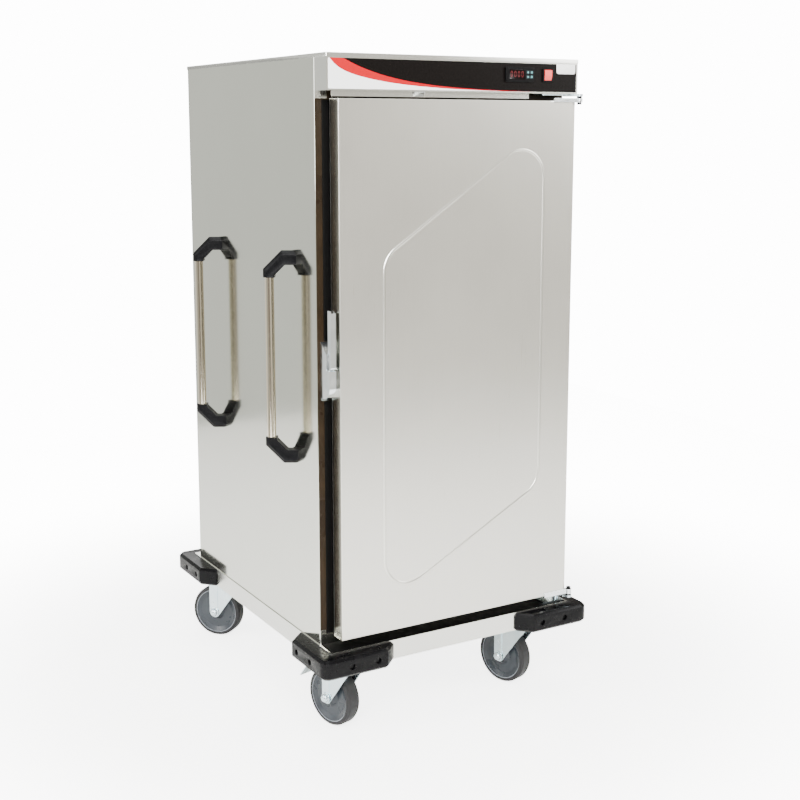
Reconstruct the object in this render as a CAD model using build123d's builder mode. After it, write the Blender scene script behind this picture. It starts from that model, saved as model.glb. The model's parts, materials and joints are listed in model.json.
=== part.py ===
"""Heated banquet cart: an insulated stainless cabinet on four swivel casters, with one full-height door.

Millimetres, +Z up. The door faces -Y and its hinges are on +X. The origin is on the floor, under the
middle of the cart's outline.
"""
from build123d import *

import os
from math import atan2, cos, degrees, radians, sin

# Cabinet
body_width = 748.0
body_depth = 827.0
body_height = 1500.0
wall = 50.0
skin = 1.5
liner_skin = 1.2
bend_radius = 3.0
rear_return = 14.0
cap_drop = 10.0

# Base frame
base_height = 52.0
base_lip = 2.5
front_ledge = 66.0
rear_ledge = 41.0
base_sheet = 2.0
base_corner = 3.0
channel_width = 150.0
channel_sheet = 3.0

# Corner bumpers
bumper_reach = 42.0
bumper_height = 52.0
bumper_drop = 2.0
bumper_arm = 182.0
bumper_end_cut = 38.0
bumper_corner = 24.0
bumper_edge = 7.0
bumper_root = 20.0
bumper_holes = (40.0, 116.0)
bumper_screw_radius = 3.0
bumper_head_radius = 7.0
bumper_head_height = 5.0
bumper_bore_radius = 8.0
bumper_bore_depth = 12.0
bumper_screw_end = 8.0
screw_clearance = 0.1

# Casters
caster_height = 211.0
caster_inset_x = 94.0
caster_inset_y = 87.0
caster_trail = 57.0
wheel_radius = 80.0
tyre_width = 42.0
tyre_round = 8.0
tyre_bevel = 2.4
rim_radius = 69.0
rim_width = 37.0
rim_depth = 3.5
web_radius = 53.0
web_width = 26.0
hub_radius = 17.0
hub_root_radius = 27.0
hub_width = 48.0
axle_radius = 6.0
axle_flats = 9.5
axle_head = 8.0
axle_nut = 10.0
fork_gap = 50.0
fork_sheet = 4.0
fork_end = 17.0
fork_nose = 34.0
fork_crown = 6.0
fork_bend = 5.0
fork_lip = 14.0
fork_rib_width = 22.0
fork_rib_rise = 2.0
plate_length = 112.0
plate_width = 96.0
plate_thick = 5.0
plate_corner = 10.0
race_radius = 32.0
race_height = 9.0
king_radius = 7.0
king_nut_radius = 12.0
king_nut_height = 7.0
running_gap = 0.06
turn_gap = 0.4

# Swivel of each caster: turn of the trail from straight back towards the left side
swivel_front_left = 15.0
swivel_front_right = 16.0
swivel_rear_left = 40.0
swivel_rear_right = 28.0

# Brake pedals on the front casters
pedal_width = 38.0
pedal_sheet = 3.0
pedal_back = 8.0
pedal_drop = 12.0
pedal_pin_radius = 3.5
pedal_eye_radius = 7.0
pedal_bend = 22.0
pedal_shoulder = (46.0, -6.0)
pedal_knee = (84.0, -42.0)
pedal_tip = (108.0, -74.0)

# Control housing over the door
control_height = 89.0
front_projection = 63.5
strip_left = 29.0
strip_right = 612.0
strip_drop = 13.0
strip_setback = 30.0
overlay_thick = 0.6
overlay_margin = 5.0
overlay_foot = 4.0
overlay_height = 72.0
overlay_corner = 2.0
panel_centre = 47.0

# Digital controller and its keys
controller_x = 557.5
controller_width = 88.0
controller_height = 37.0
controller_corner = 3.0
controller_proud = 6.0
controller_case_width = 71.0
controller_case_height = 29.0
controller_case_depth = 46.0
window_x = -9.5
window_width = 50.0
window_height = 26.0
window_depth = 1.0
key_x = 30.0
key_width = 9.5
key_height = 8.5
key_pitch_x = 11.5
key_pitch_z = 11.5
key_pocket = 5.0
key_proud = 0.9
key_travel = 0.8
key_gap = 0.15
key_rest = 0.3

# Rocker switch
rocker_x = 648.5
switch_width = 34.0
switch_height = 35.0
switch_corner = 3.0
switch_proud = 4.0
switch_case_width = 30.0
switch_case_height = 32.0
switch_case_depth = 26.0
rocker_radius = 13.8
rocker_width = 22.8
rocker_front = 6.0
rocker_back = 8.0
rocker_set = 4.0
rocker_slope = 8.0
rocker_gap = 0.3
rocker_pin_radius = 2.0
rocker_pin_reach = 1.6

# Door
door_left_inset = 31.5
door_right_inset = 6.0
door_foot_gap = 26.0
door_head_gap = 18.0
door_pan_depth = 44.0
door_edge_round = 2.0
door_sheet = 1.5
door_liner_sheet = 1.2
door_panel_rise = 8.0
door_panel_inset = 42.0
gasket_inset = 3.0
gasket_width = 14.0
gasket_round = 5.0
gasket_gap = 0.3
seal_cover = 24.0

# Raised bead on the door, measured from the cabinet's left side and the top of the base
bead_left = 157.5
bead_right = 643.0
bead_left_foot = 100.0
bead_left_head = 1004.0
bead_right_foot = 357.0
bead_right_head = 1330.0
bead_corner = 72.0
bead_width = 8.0
bead_rise = 1.6
bead_root = 0.5

# Hinges
hinge_out = 3.0
hinge_forward = 6.0
hinge_pin_radius = 4.0
hinge_cap_radius = 6.0
hinge_cap_height = 5.0
hinge_collar_radius = 7.0
strap_length = 75.0
strap_thick = 8.0
strap_boss = 8.5
strap_round = 1.5
strap_foot_height = 14.0
strap_foot_drop = 2.0
strap_head_height = 11.0
strap_head_rise = 7.0
bracket_foot_length = 68.0
bracket_head_length = 102.0
bracket_side_gap = 3.0
bracket_front_gap = 10.0
bracket_width = 40.0
bracket_plate = 4.0
bracket_link = 6.0
bracket_post_radius = 7.0
bracket_link_rise = 14.0
bracket_end_radius = 9.0
bracket_post_in = 14.0

# Rubber stops on the hinge side, which the opened door rests on with its latch lever clear of the panel
door_swing = 265.0
door_flat = 270.0
stop_run = 300.0
stop_heights = (430.0, 1080.0)
stop_foot_radius = 17.0
stop_foot = 4.0
stop_radius = 13.0
stop_tip_radius = 9.0
stop_dome = 5.0
stop_bore_radius = 5.0
stop_bore_depth = 18.0

# Latch on the door's left edge
latch_width = 24.0
latch_setback = 12.0
latch_foot = 655.0
latch_pivot = 737.0
latch_slope_foot = 768.0
latch_head = 796.0
latch_foot_round = 30.0
latch_gap = 0.6
latch_tongue = 11.0
latch_tongue_radius = 4.5
lever_depth = 15.0
lever_width = 16.0
lever_wall = 2.0
lever_rise = 142.0
lever_cup = 6.0
latch_pin_radius = 2.5
strike_sheet = 3.0
strike_foot = 646.0
strike_head = 796.0
strike_setback = 8.0
strike_round = 4.0
strike_gap = 0.4

# Handles on the left side
handle_front = 195.0
handle_spacing = 480.0
handle_centre = 737.0
handle_length = 556.0
handle_reach = 76.5
handle_lean = 32.0
elbow_width = 32.0
elbow_depth = 36.0
elbow_cut = 47.0
elbow_collar = 22.0
elbow_bevel = 10.0
elbow_outer_turn = 60.0
elbow_leg = 30.0
elbow_inner_cut = 27.0
elbow_inner_lip = 6.0
tube_radius = 12.25
tube_wall = 2.0
tube_seat = 16.0

# Inside: air unit under the ceiling and tray racks
cavity_foot = 50.0
fan_radius = 78.0
fan_height = 32.0
fan_drop = 14.0
fan_disc = 2.0
fan_hub_radius = 14.0
fan_blades = 12
fan_blade_length = 34.0
fan_blade_thick = 1.6
fan_blade_turn = 35.0
shaft_radius = 5.0
shaft_clearance = 2.0
motor_radius = 45.0
motor_height = 52.0
motor_flange = 130.0
motor_flange_thick = 3.0
motor_bore_depth = 20.0
motor_round = 5.0
heater_ring_radius = 118.0
heater_radius = 4.5
heater_sides = 8
heater_legs = 3
heater_leg_radius = 3.5
baffle_drop = 78.0
baffle_size = 440.0
baffle_sheet = 1.2
inlet_hole_radius = 11.0
inlet_ring_radius = 34.0
inlet_ring_count = 6
inlet_outer_radius = 64.0
inlet_outer_count = 12
tray_width = 530.0
tray_play = 3.0
rack_levels = 20
rack_pitch = 57.0
rack_first = 45.0
runner_length = 640.0
runner_setback = 40.0
runner_leg = 20.0
runner_shelf = 16.0
runner_sheet = 1.5
upright_width = 40.0
upright_sheet = 1.5
upright_front = 110.0
upright_rear = 560.0
upright_head = 60.0
upright_gap = 0.2
runner_gap = 0.05

# Mains inlet on the rear panel
inlet_inset = 134.0
inlet_drop = 323.0
inlet_flange = 62.0
inlet_flange_thick = 4.0
inlet_flange_corner = 8.0
inlet_radius = 24.0
inlet_length = 22.0
inlet_wall = 3.0
inlet_body_radius = 22.0
inlet_body_depth = 30.0
inlet_pin_radius = 2.4
inlet_pin_ring_radius = 10.0
inlet_pin_length = 16.0
inlet_pins = 3

# Places worked out from the sizes
base_width = body_width + 2 * base_lip
base_depth = front_ledge + body_depth + rear_ledge
base_top = caster_height + base_height
roof_top = base_top + body_height
roof_under = roof_top - skin
handle_way = Vector(1, 0, 0).rotate(Axis.Z, -handle_lean)
handle_side = handle_reach * handle_way.X - (elbow_width / 2 - elbow_bevel) * handle_way.Y
left_reach = max(handle_side, base_lip + bumper_reach)
right_reach = base_lip + bumper_reach
middle_x = (left_reach - right_reach) / 2
left_x = middle_x - body_width / 2
right_x = middle_x + body_width / 2
face_y = front_ledge - base_depth / 2
front_y = face_y - front_projection
rear_y = base_depth / 2 - rear_ledge
control_foot = roof_top - control_height
door_left = left_x + door_left_inset
door_right = right_x - door_right_inset
door_foot = base_top + door_foot_gap
door_head = control_foot - door_head_gap
door_back = front_y + door_pan_depth
door_seal = door_back + door_liner_sheet
cavity_left = left_x + wall
cavity_right = right_x - wall
cavity_rear = rear_y - wall
cavity_floor = base_top + cavity_foot
cavity_head = door_head - seal_cover
slab_head = cavity_head + wall
lining_left = cavity_left - liner_skin
lining_right = cavity_right + liner_skin
lining_rear = cavity_rear + liner_skin
lining_floor = cavity_floor - liner_skin
lining_head = cavity_head + liner_skin
panel_rear = rear_y - 2 * skin
air_y = (face_y + cavity_rear) / 2
panel_z = control_foot + panel_centre
overlay_front = front_y - overlay_thick
hinge_x = right_x + hinge_out
hinge_y = front_y - hinge_forward
inlet_x = right_x - inlet_inset
inlet_z = roof_top - inlet_drop
axle_z = wheel_radius
crown_top = caster_height - plate_thick - race_height - turn_gap
crown_foot = crown_top - fork_crown
switch_front = overlay_front - switch_proud
rocker_y = switch_front + rocker_set
controller_front = overlay_front - controller_proud
lever_y = front_y + latch_setback + lever_depth / 2
lever_z = base_top + latch_pivot
pedal_u = caster_trail + pedal_back
pedal_z = crown_foot - pedal_drop

os.makedirs("parts", exist_ok=True)


def keep(piece, name):
    """Label a finished piece and write it under its name."""
    piece.part.label = name
    export_step(piece.part, f"parts/{name}.step")


def slab(low, high, mode=Mode.ADD):
    """Add or cut the block between two opposite corners in the open part."""
    size = Vector(*high) - Vector(*low)
    with Locations((Vector(*low) + Vector(*high)) / 2):
        Box(size.X, size.Y, size.Z, mode=mode)


def front_plane(x, y, z):
    """Upright plane that faces the front: its x is +X, its y is +Z and its normal is -Y."""
    return Plane(origin=(x, y, z), x_dir=(1, 0, 0), z_dir=(0, -1, 0))


def side_plane(x, y=0.0, z=0.0):
    """Upright plane across the cart: its x is +Y, its y is +Z and its normal is +X."""
    return Plane(origin=(x, y, z), x_dir=(0, 1, 0), z_dir=(1, 0, 0))


def bumper_screw_planes(side, end):
    """Planes on the base skirt, facing out, at the screws of the bumper on one corner."""
    corner_x = middle_x + side * base_width / 2
    corner_y = end * base_depth / 2
    z = base_top - bumper_drop - bumper_height / 2
    planes = []
    for inward in bumper_holes:
        planes.append(Plane(origin=(corner_x - side * inward, corner_y, z), z_dir=(0, end, 0)))
        planes.append(Plane(origin=(corner_x, corner_y - end * inward, z), z_dir=(side, 0, 0)))
    return planes


corners = {
    "front_left": (-1, -1),
    "front_right": (1, -1),
    "rear_left": (-1, 1),
    "rear_right": (1, 1),
}

# Base pan: a folded tray, open below, that carries the cabinet
with BuildPart() as base_pan:
    with BuildSketch(Plane.XY.offset(caster_height)):
        with Locations((middle_x, 0)):
            RectangleRounded(base_width, base_depth, base_corner)
    extrude(amount=base_height)
    offset(amount=-base_sheet, openings=base_pan.faces().sort_by(Axis.Z)[0])
    for side, end in corners.values():
        for plane in bumper_screw_planes(side, end):
            with Locations(plane):
                Cylinder(bumper_screw_radius + screw_clearance, 4 * base_sheet, mode=Mode.SUBTRACT)
keep(base_pan, "base_pan")

# Chassis channels under the pan, one across each end, that the casters bolt to
with BuildPart() as chassis_channels:
    channel_y = base_depth / 2 - caster_inset_y
    channel_length = base_width - 2 * base_sheet
    for end in (-1, 1):
        with BuildSketch(side_plane(middle_x - channel_length / 2, end * channel_y, caster_height)):
            with BuildLine():
                half = channel_width / 2
                head = base_height - base_sheet
                Polyline(
                    (-half, head),
                    (-half, 0),
                    (half, 0),
                    (half, head),
                    (half - channel_sheet, head),
                    (half - channel_sheet, channel_sheet),
                    (channel_sheet - half, channel_sheet),
                    (channel_sheet - half, head),
                    close=True,
                )
            make_face()
        extrude(amount=channel_length)
keep(chassis_channels, "chassis_channels")

# Corner bumpers: L-shaped mouldings round the corners of the base
with BuildPart() as corner_bumpers:
    for side, end in corners.values():
        tip = bumper_reach - bumper_end_cut
        outline = (
            (-bumper_reach, -bumper_reach),
            (bumper_arm - bumper_end_cut, -bumper_reach),
            (bumper_arm, -tip),
            (bumper_arm, bumper_root),
            (bumper_root, bumper_root),
            (bumper_root, bumper_arm),
            (-tip, bumper_arm),
            (-bumper_reach, bumper_arm - bumper_end_cut),
        )
        corner_plane = Plane(
            origin=(
                middle_x + side * base_width / 2,
                end * base_depth / 2,
                base_top - bumper_drop - bumper_height,
            ),
        )
        points = [(-side * along, -end * across) for along, across in outline]
        with BuildSketch(corner_plane) as plan:
            with BuildLine():
                Polyline(*points, close=True)
            make_face()
            fillet(plan.vertices().sort_by_distance(Vector(*points[0]))[0], bumper_corner)
        extrude(amount=bumper_height)
    chamfer(corner_bumpers.faces().filter_by(Axis.Z).edges(), bumper_edge)
    slab(
        (middle_x - base_width / 2, -base_depth / 2, 0),
        (middle_x + base_width / 2, base_depth / 2, roof_top),
        Mode.SUBTRACT,
    )
    for side, end in corners.values():
        for plane in bumper_screw_planes(side, end):
            with Locations(plane.offset(bumper_reach)):
                CounterBoreHole(
                    bumper_screw_radius + screw_clearance,
                    bumper_bore_radius,
                    bumper_bore_depth,
                    bumper_reach,
                )
keep(corner_bumpers, "corner_bumpers")

# Bumper screws: pan heads at the bottom of the counterbores, shanks through the skirt
with BuildPart() as bumper_screws:
    for side, end in corners.values():
        for plane in bumper_screw_planes(side, end):
            seat = bumper_reach - bumper_bore_depth
            foot = base_sheet + bumper_screw_end
            with BuildSketch(plane.offset(-foot)):
                Circle(bumper_screw_radius)
            extrude(amount=foot + seat)
            with BuildSketch(plane.offset(seat)):
                Circle(bumper_head_radius)
            extrude(amount=bumper_head_height)
keep(bumper_screws, "bumper_screws")


# Side panels: folded sheets that turn in over the front of the wall and a little at the rear
def side_panel(outer_x, inward, fold_side, name):
    """Make one side panel from its outer face and the direction into the cabinet."""
    with BuildPart() as panel:
        with BuildSketch(Plane.XY.offset(base_top)):
            with BuildLine():
                FilletPolyline(
                    (outer_x + inward * wall, face_y),
                    (outer_x, face_y),
                    (outer_x, rear_y),
                    (outer_x + inward * rear_return, rear_y),
                    radius=bend_radius,
                )
                offset(amount=skin, side=fold_side)
            make_face()
        extrude(amount=roof_under - base_top)
    keep(panel, name)


side_panel(left_x, 1, Side.RIGHT, "left_side_panel")
side_panel(right_x, -1, Side.LEFT, "right_side_panel")

# Rear panel, behind the side panels' returns, with the hole for the mains inlet
with BuildPart() as rear_panel:
    slab((left_x + bend_radius, panel_rear, base_top), (right_x - bend_radius, rear_y - skin, roof_under))
    with Locations(Plane(origin=(inlet_x, rear_y - skin, inlet_z), z_dir=(0, 1, 0))):
        Cylinder(inlet_body_radius + screw_clearance, 4 * skin, mode=Mode.SUBTRACT)
keep(rear_panel, "rear_panel")

# Front trim: the header above the door opening and the sill below it
with BuildPart() as front_trim:
    slab((cavity_left, face_y, cavity_head), (cavity_right, face_y + skin, roof_under))
    slab((cavity_left, face_y, base_top), (cavity_right, face_y + skin, cavity_floor))
keep(front_trim, "front_trim")

# Roof cover: a shallow pan over the cabinet and the control housing
with BuildPart() as top_cover:
    slab((left_x - skin, front_y - skin, roof_top - cap_drop), (right_x + skin, rear_y + skin, roof_top))
    fillet(top_cover.edges().filter_by(Axis.Z), bend_radius)
    fillet(top_cover.faces().sort_by(Axis.Z)[-1].edges(), skin)
    slab(
        (left_x, front_y, roof_top - cap_drop),
        (right_x, rear_y, roof_under),
        Mode.SUBTRACT,
    )
keep(top_cover, "top_cover")

# Inner liner: five welded panels round the tray space
with BuildPart() as inner_liner:
    liner_front = face_y + skin
    slab((lining_left, liner_front, lining_floor), (lining_right, lining_rear, lining_head))
    slab((cavity_left, liner_front, cavity_floor), (cavity_right, cavity_rear, cavity_head), Mode.SUBTRACT)
    with Locations((middle_x, air_y, cavity_head)):
        Cylinder(shaft_radius + shaft_clearance, 4 * liner_skin, mode=Mode.SUBTRACT)
keep(inner_liner, "inner_liner")

# Insulation slabs between the skins and the liner
with BuildPart() as wall_insulation:
    slab_front = face_y + bend_radius
    slab((left_x + skin, slab_front, base_top), (lining_left, panel_rear, slab_head))
    slab((lining_right, slab_front, base_top), (right_x - skin, panel_rear, slab_head))
    slab((lining_left, lining_rear, base_top), (lining_right, panel_rear, slab_head))
    slab((lining_left, slab_front, base_top), (lining_right, lining_rear, lining_floor))
    slab((lining_left, slab_front, lining_head), (lining_right, lining_rear, slab_head))
    with Locations((middle_x, air_y, lining_head)):
        Cylinder(shaft_radius + shaft_clearance, 4 * wall, mode=Mode.SUBTRACT)
    with Locations(Plane(origin=(inlet_x, panel_rear, inlet_z), z_dir=(0, 1, 0))):
        Cylinder(inlet_body_radius + screw_clearance, 2 * inlet_body_depth, mode=Mode.SUBTRACT)
keep(wall_insulation, "wall_insulation")

# Control housing: a folded box over the door, open to the roof space behind it
with BuildPart() as control_housing:
    slab((left_x, front_y, control_foot), (right_x, face_y, roof_under))
    slab((left_x + skin, front_y + skin, control_foot + skin), (right_x - skin, face_y, roof_under), Mode.SUBTRACT)
    slab(
        (left_x + strip_left, front_y + strip_setback, control_foot - strip_drop),
        (left_x + strip_right, front_y + strip_setback + skin, control_foot),
    )
    with BuildSketch(front_plane(left_x, front_y, panel_z)):
        with Locations((controller_x, 0)):
            Rectangle(controller_case_width, controller_case_height)
        with Locations((rocker_x, 0)):
            Rectangle(switch_case_width, switch_case_height)
    extrude(amount=-2 * skin, mode=Mode.SUBTRACT)
keep(control_housing, "control_housing")

# Printed overlay on the front of the control housing
with BuildPart() as control_overlay:
    with BuildSketch(front_plane(left_x, front_y, panel_z)):
        with Locations((body_width / 2, control_foot + overlay_foot + overlay_height / 2 - panel_z)):
            RectangleRounded(body_width - 2 * overlay_margin, overlay_height, overlay_corner)
        with Locations((controller_x, 0)):
            Rectangle(controller_case_width, controller_case_height, mode=Mode.SUBTRACT)
        with Locations((rocker_x, 0)):
            Rectangle(switch_case_width, switch_case_height, mode=Mode.SUBTRACT)
    extrude(amount=overlay_thick)
keep(control_overlay, "control_overlay")

# Digital controller: bezel, case behind the panel, display window and key pockets
controller_plane = front_plane(left_x + controller_x, overlay_front, panel_z)
with BuildPart() as controller:
    with BuildSketch(controller_plane):
        RectangleRounded(controller_width, controller_height, controller_corner)
    extrude(amount=controller_proud)
    fillet(controller.faces().sort_by(Axis.Y)[0].edges(), door_edge_round / 2)
    with BuildSketch(controller_plane):
        Rectangle(controller_case_width, controller_case_height)
    extrude(amount=-controller_case_depth)
    with BuildSketch(controller_plane.offset(controller_proud)):
        with Locations((window_x, 0)):
            Rectangle(window_width, window_height)
    extrude(amount=-window_depth, mode=Mode.SUBTRACT)
    with BuildSketch(controller_plane.offset(controller_proud)):
        with Locations((key_x, 0)):
            with GridLocations(key_pitch_x, key_pitch_z, 2, 2):
                Rectangle(key_width, key_height)
    extrude(amount=-key_pocket, mode=Mode.SUBTRACT)
keep(controller, "controller")

# Four sprung keys in the pockets
key_places = {
    "key_up": (key_x - key_pitch_x / 2, key_pitch_z / 2),
    "key_down": (key_x - key_pitch_x / 2, -key_pitch_z / 2),
    "key_set": (key_x + key_pitch_x / 2, key_pitch_z / 2),
    "key_power": (key_x + key_pitch_x / 2, -key_pitch_z / 2),
}
for name, place in key_places.items():
    with BuildPart() as key:
        with BuildSketch(controller_plane.offset(controller_proud + key_proud)):
            with Locations(place):
                Rectangle(key_width - 2 * key_gap, key_height - 2 * key_gap)
        extrude(amount=-(key_proud + key_pocket - key_travel - key_rest))
        chamfer(key.faces().sort_by(Axis.Y)[0].edges(), key_proud / 2)
    keep(key, name)

# Rocker switch: bezel and case, with the sockets of the rocker's pivot
switch_plane = front_plane(left_x + rocker_x, overlay_front, panel_z)
with BuildPart() as rocker_switch:
    with BuildSketch(switch_plane):
        RectangleRounded(switch_width, switch_height, switch_corner)
    extrude(amount=switch_proud)
    fillet(rocker_switch.faces().sort_by(Axis.Y)[0].edges(), door_edge_round / 2)
    with BuildSketch(switch_plane):
        Rectangle(switch_case_width, switch_case_height)
    extrude(amount=-switch_case_depth)
    with BuildSketch(switch_plane.offset(switch_proud)):
        Rectangle(rocker_width + 2 * rocker_gap, 2 * (rocker_radius + rocker_gap))
    extrude(amount=-(rocker_set + rocker_radius + rocker_gap), mode=Mode.SUBTRACT)
    with BuildSketch(side_plane(left_x + rocker_x, rocker_y, panel_z)):
        Circle(rocker_pin_radius + running_gap)
    extrude(amount=rocker_width / 2 + 2 * rocker_pin_reach, both=True, mode=Mode.SUBTRACT)
keep(rocker_switch, "rocker_switch")

# Rocker: two slopes across its front, pivot pins at both ends, resting tipped to its lower half
with BuildPart() as rocker:
    tilt = radians(rocker_slope)
    rocker_plane = Plane(
        origin=(left_x + rocker_x, rocker_y, panel_z),
        x_dir=(0, -cos(tilt), -sin(tilt)),
        z_dir=(-1, 0, 0),
    )
    with BuildSketch(rocker_plane):
        Circle(rocker_radius)
        fall = rocker_radius * sin(tilt)
        with BuildLine():
            Polyline(
                (-rocker_back, -rocker_radius),
                (rocker_front - fall, -rocker_radius),
                (rocker_front, 0),
                (rocker_front - fall, rocker_radius),
                (-rocker_back, rocker_radius),
                close=True,
            )
        make_face(mode=Mode.INTERSECT)
    extrude(amount=rocker_width / 2, both=True)
    with BuildSketch(rocker_plane):
        Circle(rocker_pin_radius)
    extrude(amount=rocker_width / 2 + rocker_pin_reach, both=True)
keep(rocker, "rocker")

# Door pan: folded front sheet with the raised bead, a slanted frame with round corners
with BuildSketch(front_plane(left_x, front_y, base_top)) as bead_frame:
    with BuildLine():
        Polyline(
            (bead_left, bead_left_foot),
            (bead_left, bead_left_head),
            (bead_right, bead_right_head),
            (bead_right, bead_right_foot),
            close=True,
        )
    make_face()
    fillet(bead_frame.vertices(), bead_corner)
bead_path = bead_frame.sketch.faces()[0].outer_wire()
bead_start = bead_path @ 0
bead_run = bead_path % 0

with BuildPart() as door_skin:
    slab((door_left, front_y, door_foot), (door_right, door_back, door_head))
    fillet(door_skin.faces().sort_by(Axis.Y)[0].edges(), door_edge_round)
    slab(
        (door_left + door_sheet, front_y + door_sheet, door_foot + door_sheet),
        (door_right - door_sheet, door_back, door_head - door_sheet),
        Mode.SUBTRACT,
    )
    with BuildSketch(Plane(origin=bead_start, x_dir=bead_run.cross(Vector(0, 1, 0)), z_dir=bead_run)):
        with BuildLine():
            ThreePointArc((-bead_width / 2, 0), (0, bead_rise), (bead_width / 2, 0))
            Polyline(
                (bead_width / 2, 0),
                (bead_width / 2, -bead_root),
                (-bead_width / 2, -bead_root),
                (-bead_width / 2, 0),
            )
        make_face()
    sweep(path=bead_path)
keep(door_skin, "door_skin")

# Door insulation, inside the pan and the inner panel's plateau
plateau_inset = door_panel_inset + door_panel_rise
with BuildPart() as door_core:
    slab(
        (door_left + door_sheet, front_y + door_sheet, door_foot + door_sheet),
        (door_right - door_sheet, door_back, door_head - door_sheet),
    )
    slab(
        (door_left + plateau_inset, door_back, door_foot + plateau_inset),
        (door_right - plateau_inset, door_back + door_panel_rise, door_head - plateau_inset),
    )
keep(door_core, "door_core")

# Door inner panel: a flat edge that carries the gasket, and a pressed plateau inside it
with BuildPart() as door_liner:
    slab((door_left, door_back, door_foot), (door_right, door_seal, door_head))
    slab(
        (door_left + door_panel_inset, door_seal, door_foot + door_panel_inset),
        (door_right - door_panel_inset, door_seal + door_panel_rise, door_head - door_panel_inset),
    )
    chamfer(door_liner.faces().sort_by(Axis.Y)[-1].edges(), door_panel_rise / 2)
    slab(
        (door_left + plateau_inset, door_back, door_foot + plateau_inset),
        (door_right - plateau_inset, door_back + door_panel_rise, door_head - plateau_inset),
        Mode.SUBTRACT,
    )
keep(door_liner, "door_liner")

# Door gasket: four bulb strips round the inner panel's edge
with BuildPart() as door_gasket:
    seal_left = door_left + gasket_inset
    seal_right = door_right - gasket_inset
    seal_foot = door_foot + gasket_inset
    seal_head = door_head - gasket_inset
    seal_face = face_y - gasket_gap
    for low_x in (seal_left, seal_right - gasket_width):
        slab((low_x, door_seal, seal_foot), (low_x + gasket_width, seal_face, seal_head))
    for low_z in (seal_foot, seal_head - gasket_width):
        slab(
            (seal_left + gasket_width + gasket_gap, door_seal, low_z),
            (seal_right - gasket_width - gasket_gap, seal_face, low_z + gasket_width),
        )
    back_faces = door_gasket.faces().filter_by(Axis.Y).group_by(Axis.Y)[-1]
    uprights = back_faces.edges().filter_by(Axis.Z).filter_by(lambda edge: edge.length > 2 * gasket_width)
    levels = back_faces.edges().filter_by(Axis.X).filter_by(lambda edge: edge.length > 2 * gasket_width)
    fillet(uprights + levels, gasket_round)
keep(door_gasket, "door_gasket")


# Hinge straps across the door's front, with the eyes of the pins outside the cabinet's side
strap_low_foot = door_foot - strap_foot_drop
strap_high_foot = door_head + strap_head_rise - strap_head_height
with BuildPart() as hinge_straps:
    for foot, height in ((strap_low_foot, strap_foot_height), (strap_high_foot, strap_head_height)):
        with BuildSketch(Plane.XY.offset(foot)):
            with BuildLine():
                Polyline(
                    (door_right - strap_length, front_y - strap_thick),
                    (hinge_x, front_y - strap_thick),
                    (hinge_x, front_y),
                    (door_right - strap_length, front_y),
                    close=True,
                )
            make_face()
            with Locations((hinge_x, hinge_y)):
                Circle(strap_boss)
        extrude(amount=height)
    faces = hinge_straps.faces().filter_by(Axis.Z)
    fillet(faces.edges().filter_by(Axis.X).group_by(Axis.Y)[0], strap_round)
    with Locations((hinge_x, hinge_y, (strap_low_foot + strap_high_foot) / 2)):
        Cylinder(hinge_pin_radius + running_gap, body_height, mode=Mode.SUBTRACT)
keep(hinge_straps, "hinge_straps")

# Hinge brackets: a foot plate on the cabinet, a post and a link out to the pin, at the sill and the header
link_low = base_top + bracket_link_rise
link_high = control_foot - bracket_link
with BuildPart() as hinge_brackets:
    post_x = right_x - bracket_post_in
    post_y = front_y + bracket_front_gap + bracket_width / 2
    levels = (
        (base_top, bracket_plate, link_low, bracket_foot_length),
        (control_foot, -bracket_plate, link_high, bracket_head_length),
    )
    for foot_z, rise, link_z, foot_length in levels:
        with BuildSketch(Plane.XY.offset(foot_z)):
            with Locations((right_x - bracket_side_gap - foot_length / 2, post_y)):
                RectangleRounded(foot_length, bracket_width, bracket_plate)
        extrude(amount=rise)
        with BuildSketch(Plane.XY.offset(link_z)):
            with Locations((post_x, post_y)):
                Circle(bracket_end_radius)
            with Locations((hinge_x, hinge_y)):
                Circle(bracket_end_radius)
            make_hull()
        extrude(amount=bracket_link)
        with BuildSketch(Plane.XY.offset(min(foot_z, link_z))):
            with Locations((post_x, post_y)):
                Circle(bracket_post_radius)
        extrude(amount=abs(foot_z - link_z))
    with Locations((hinge_x, hinge_y, (link_low + link_high) / 2)):
        Cylinder(hinge_pin_radius, 2 * body_height, mode=Mode.SUBTRACT)
keep(hinge_brackets, "hinge_brackets")

# Hinge pins, pressed into the brackets, with a plain bearing collar and an end cap each
with BuildPart() as hinge_pins:
    strap_low_head = strap_low_foot + strap_foot_height
    strap_high_head = strap_high_foot + strap_head_height
    stacks = (
        (link_low, strap_low_head + turn_gap, hinge_pin_radius),
        (link_low + bracket_link, strap_low_foot - turn_gap, hinge_collar_radius),
        (strap_low_head + turn_gap, strap_low_head + turn_gap + hinge_cap_height, hinge_cap_radius),
        (strap_high_foot - turn_gap, link_high + bracket_link, hinge_pin_radius),
        (strap_high_head + turn_gap, link_high, hinge_collar_radius),
        (strap_high_foot - turn_gap - hinge_cap_height, strap_high_foot - turn_gap, hinge_cap_radius),
    )
    for low, high, radius in stacks:
        with BuildSketch(Plane.XY.offset(low)):
            with Locations((hinge_x, hinge_y)):
                Circle(radius)
        extrude(amount=high - low)
keep(hinge_pins, "hinge_pins")

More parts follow.
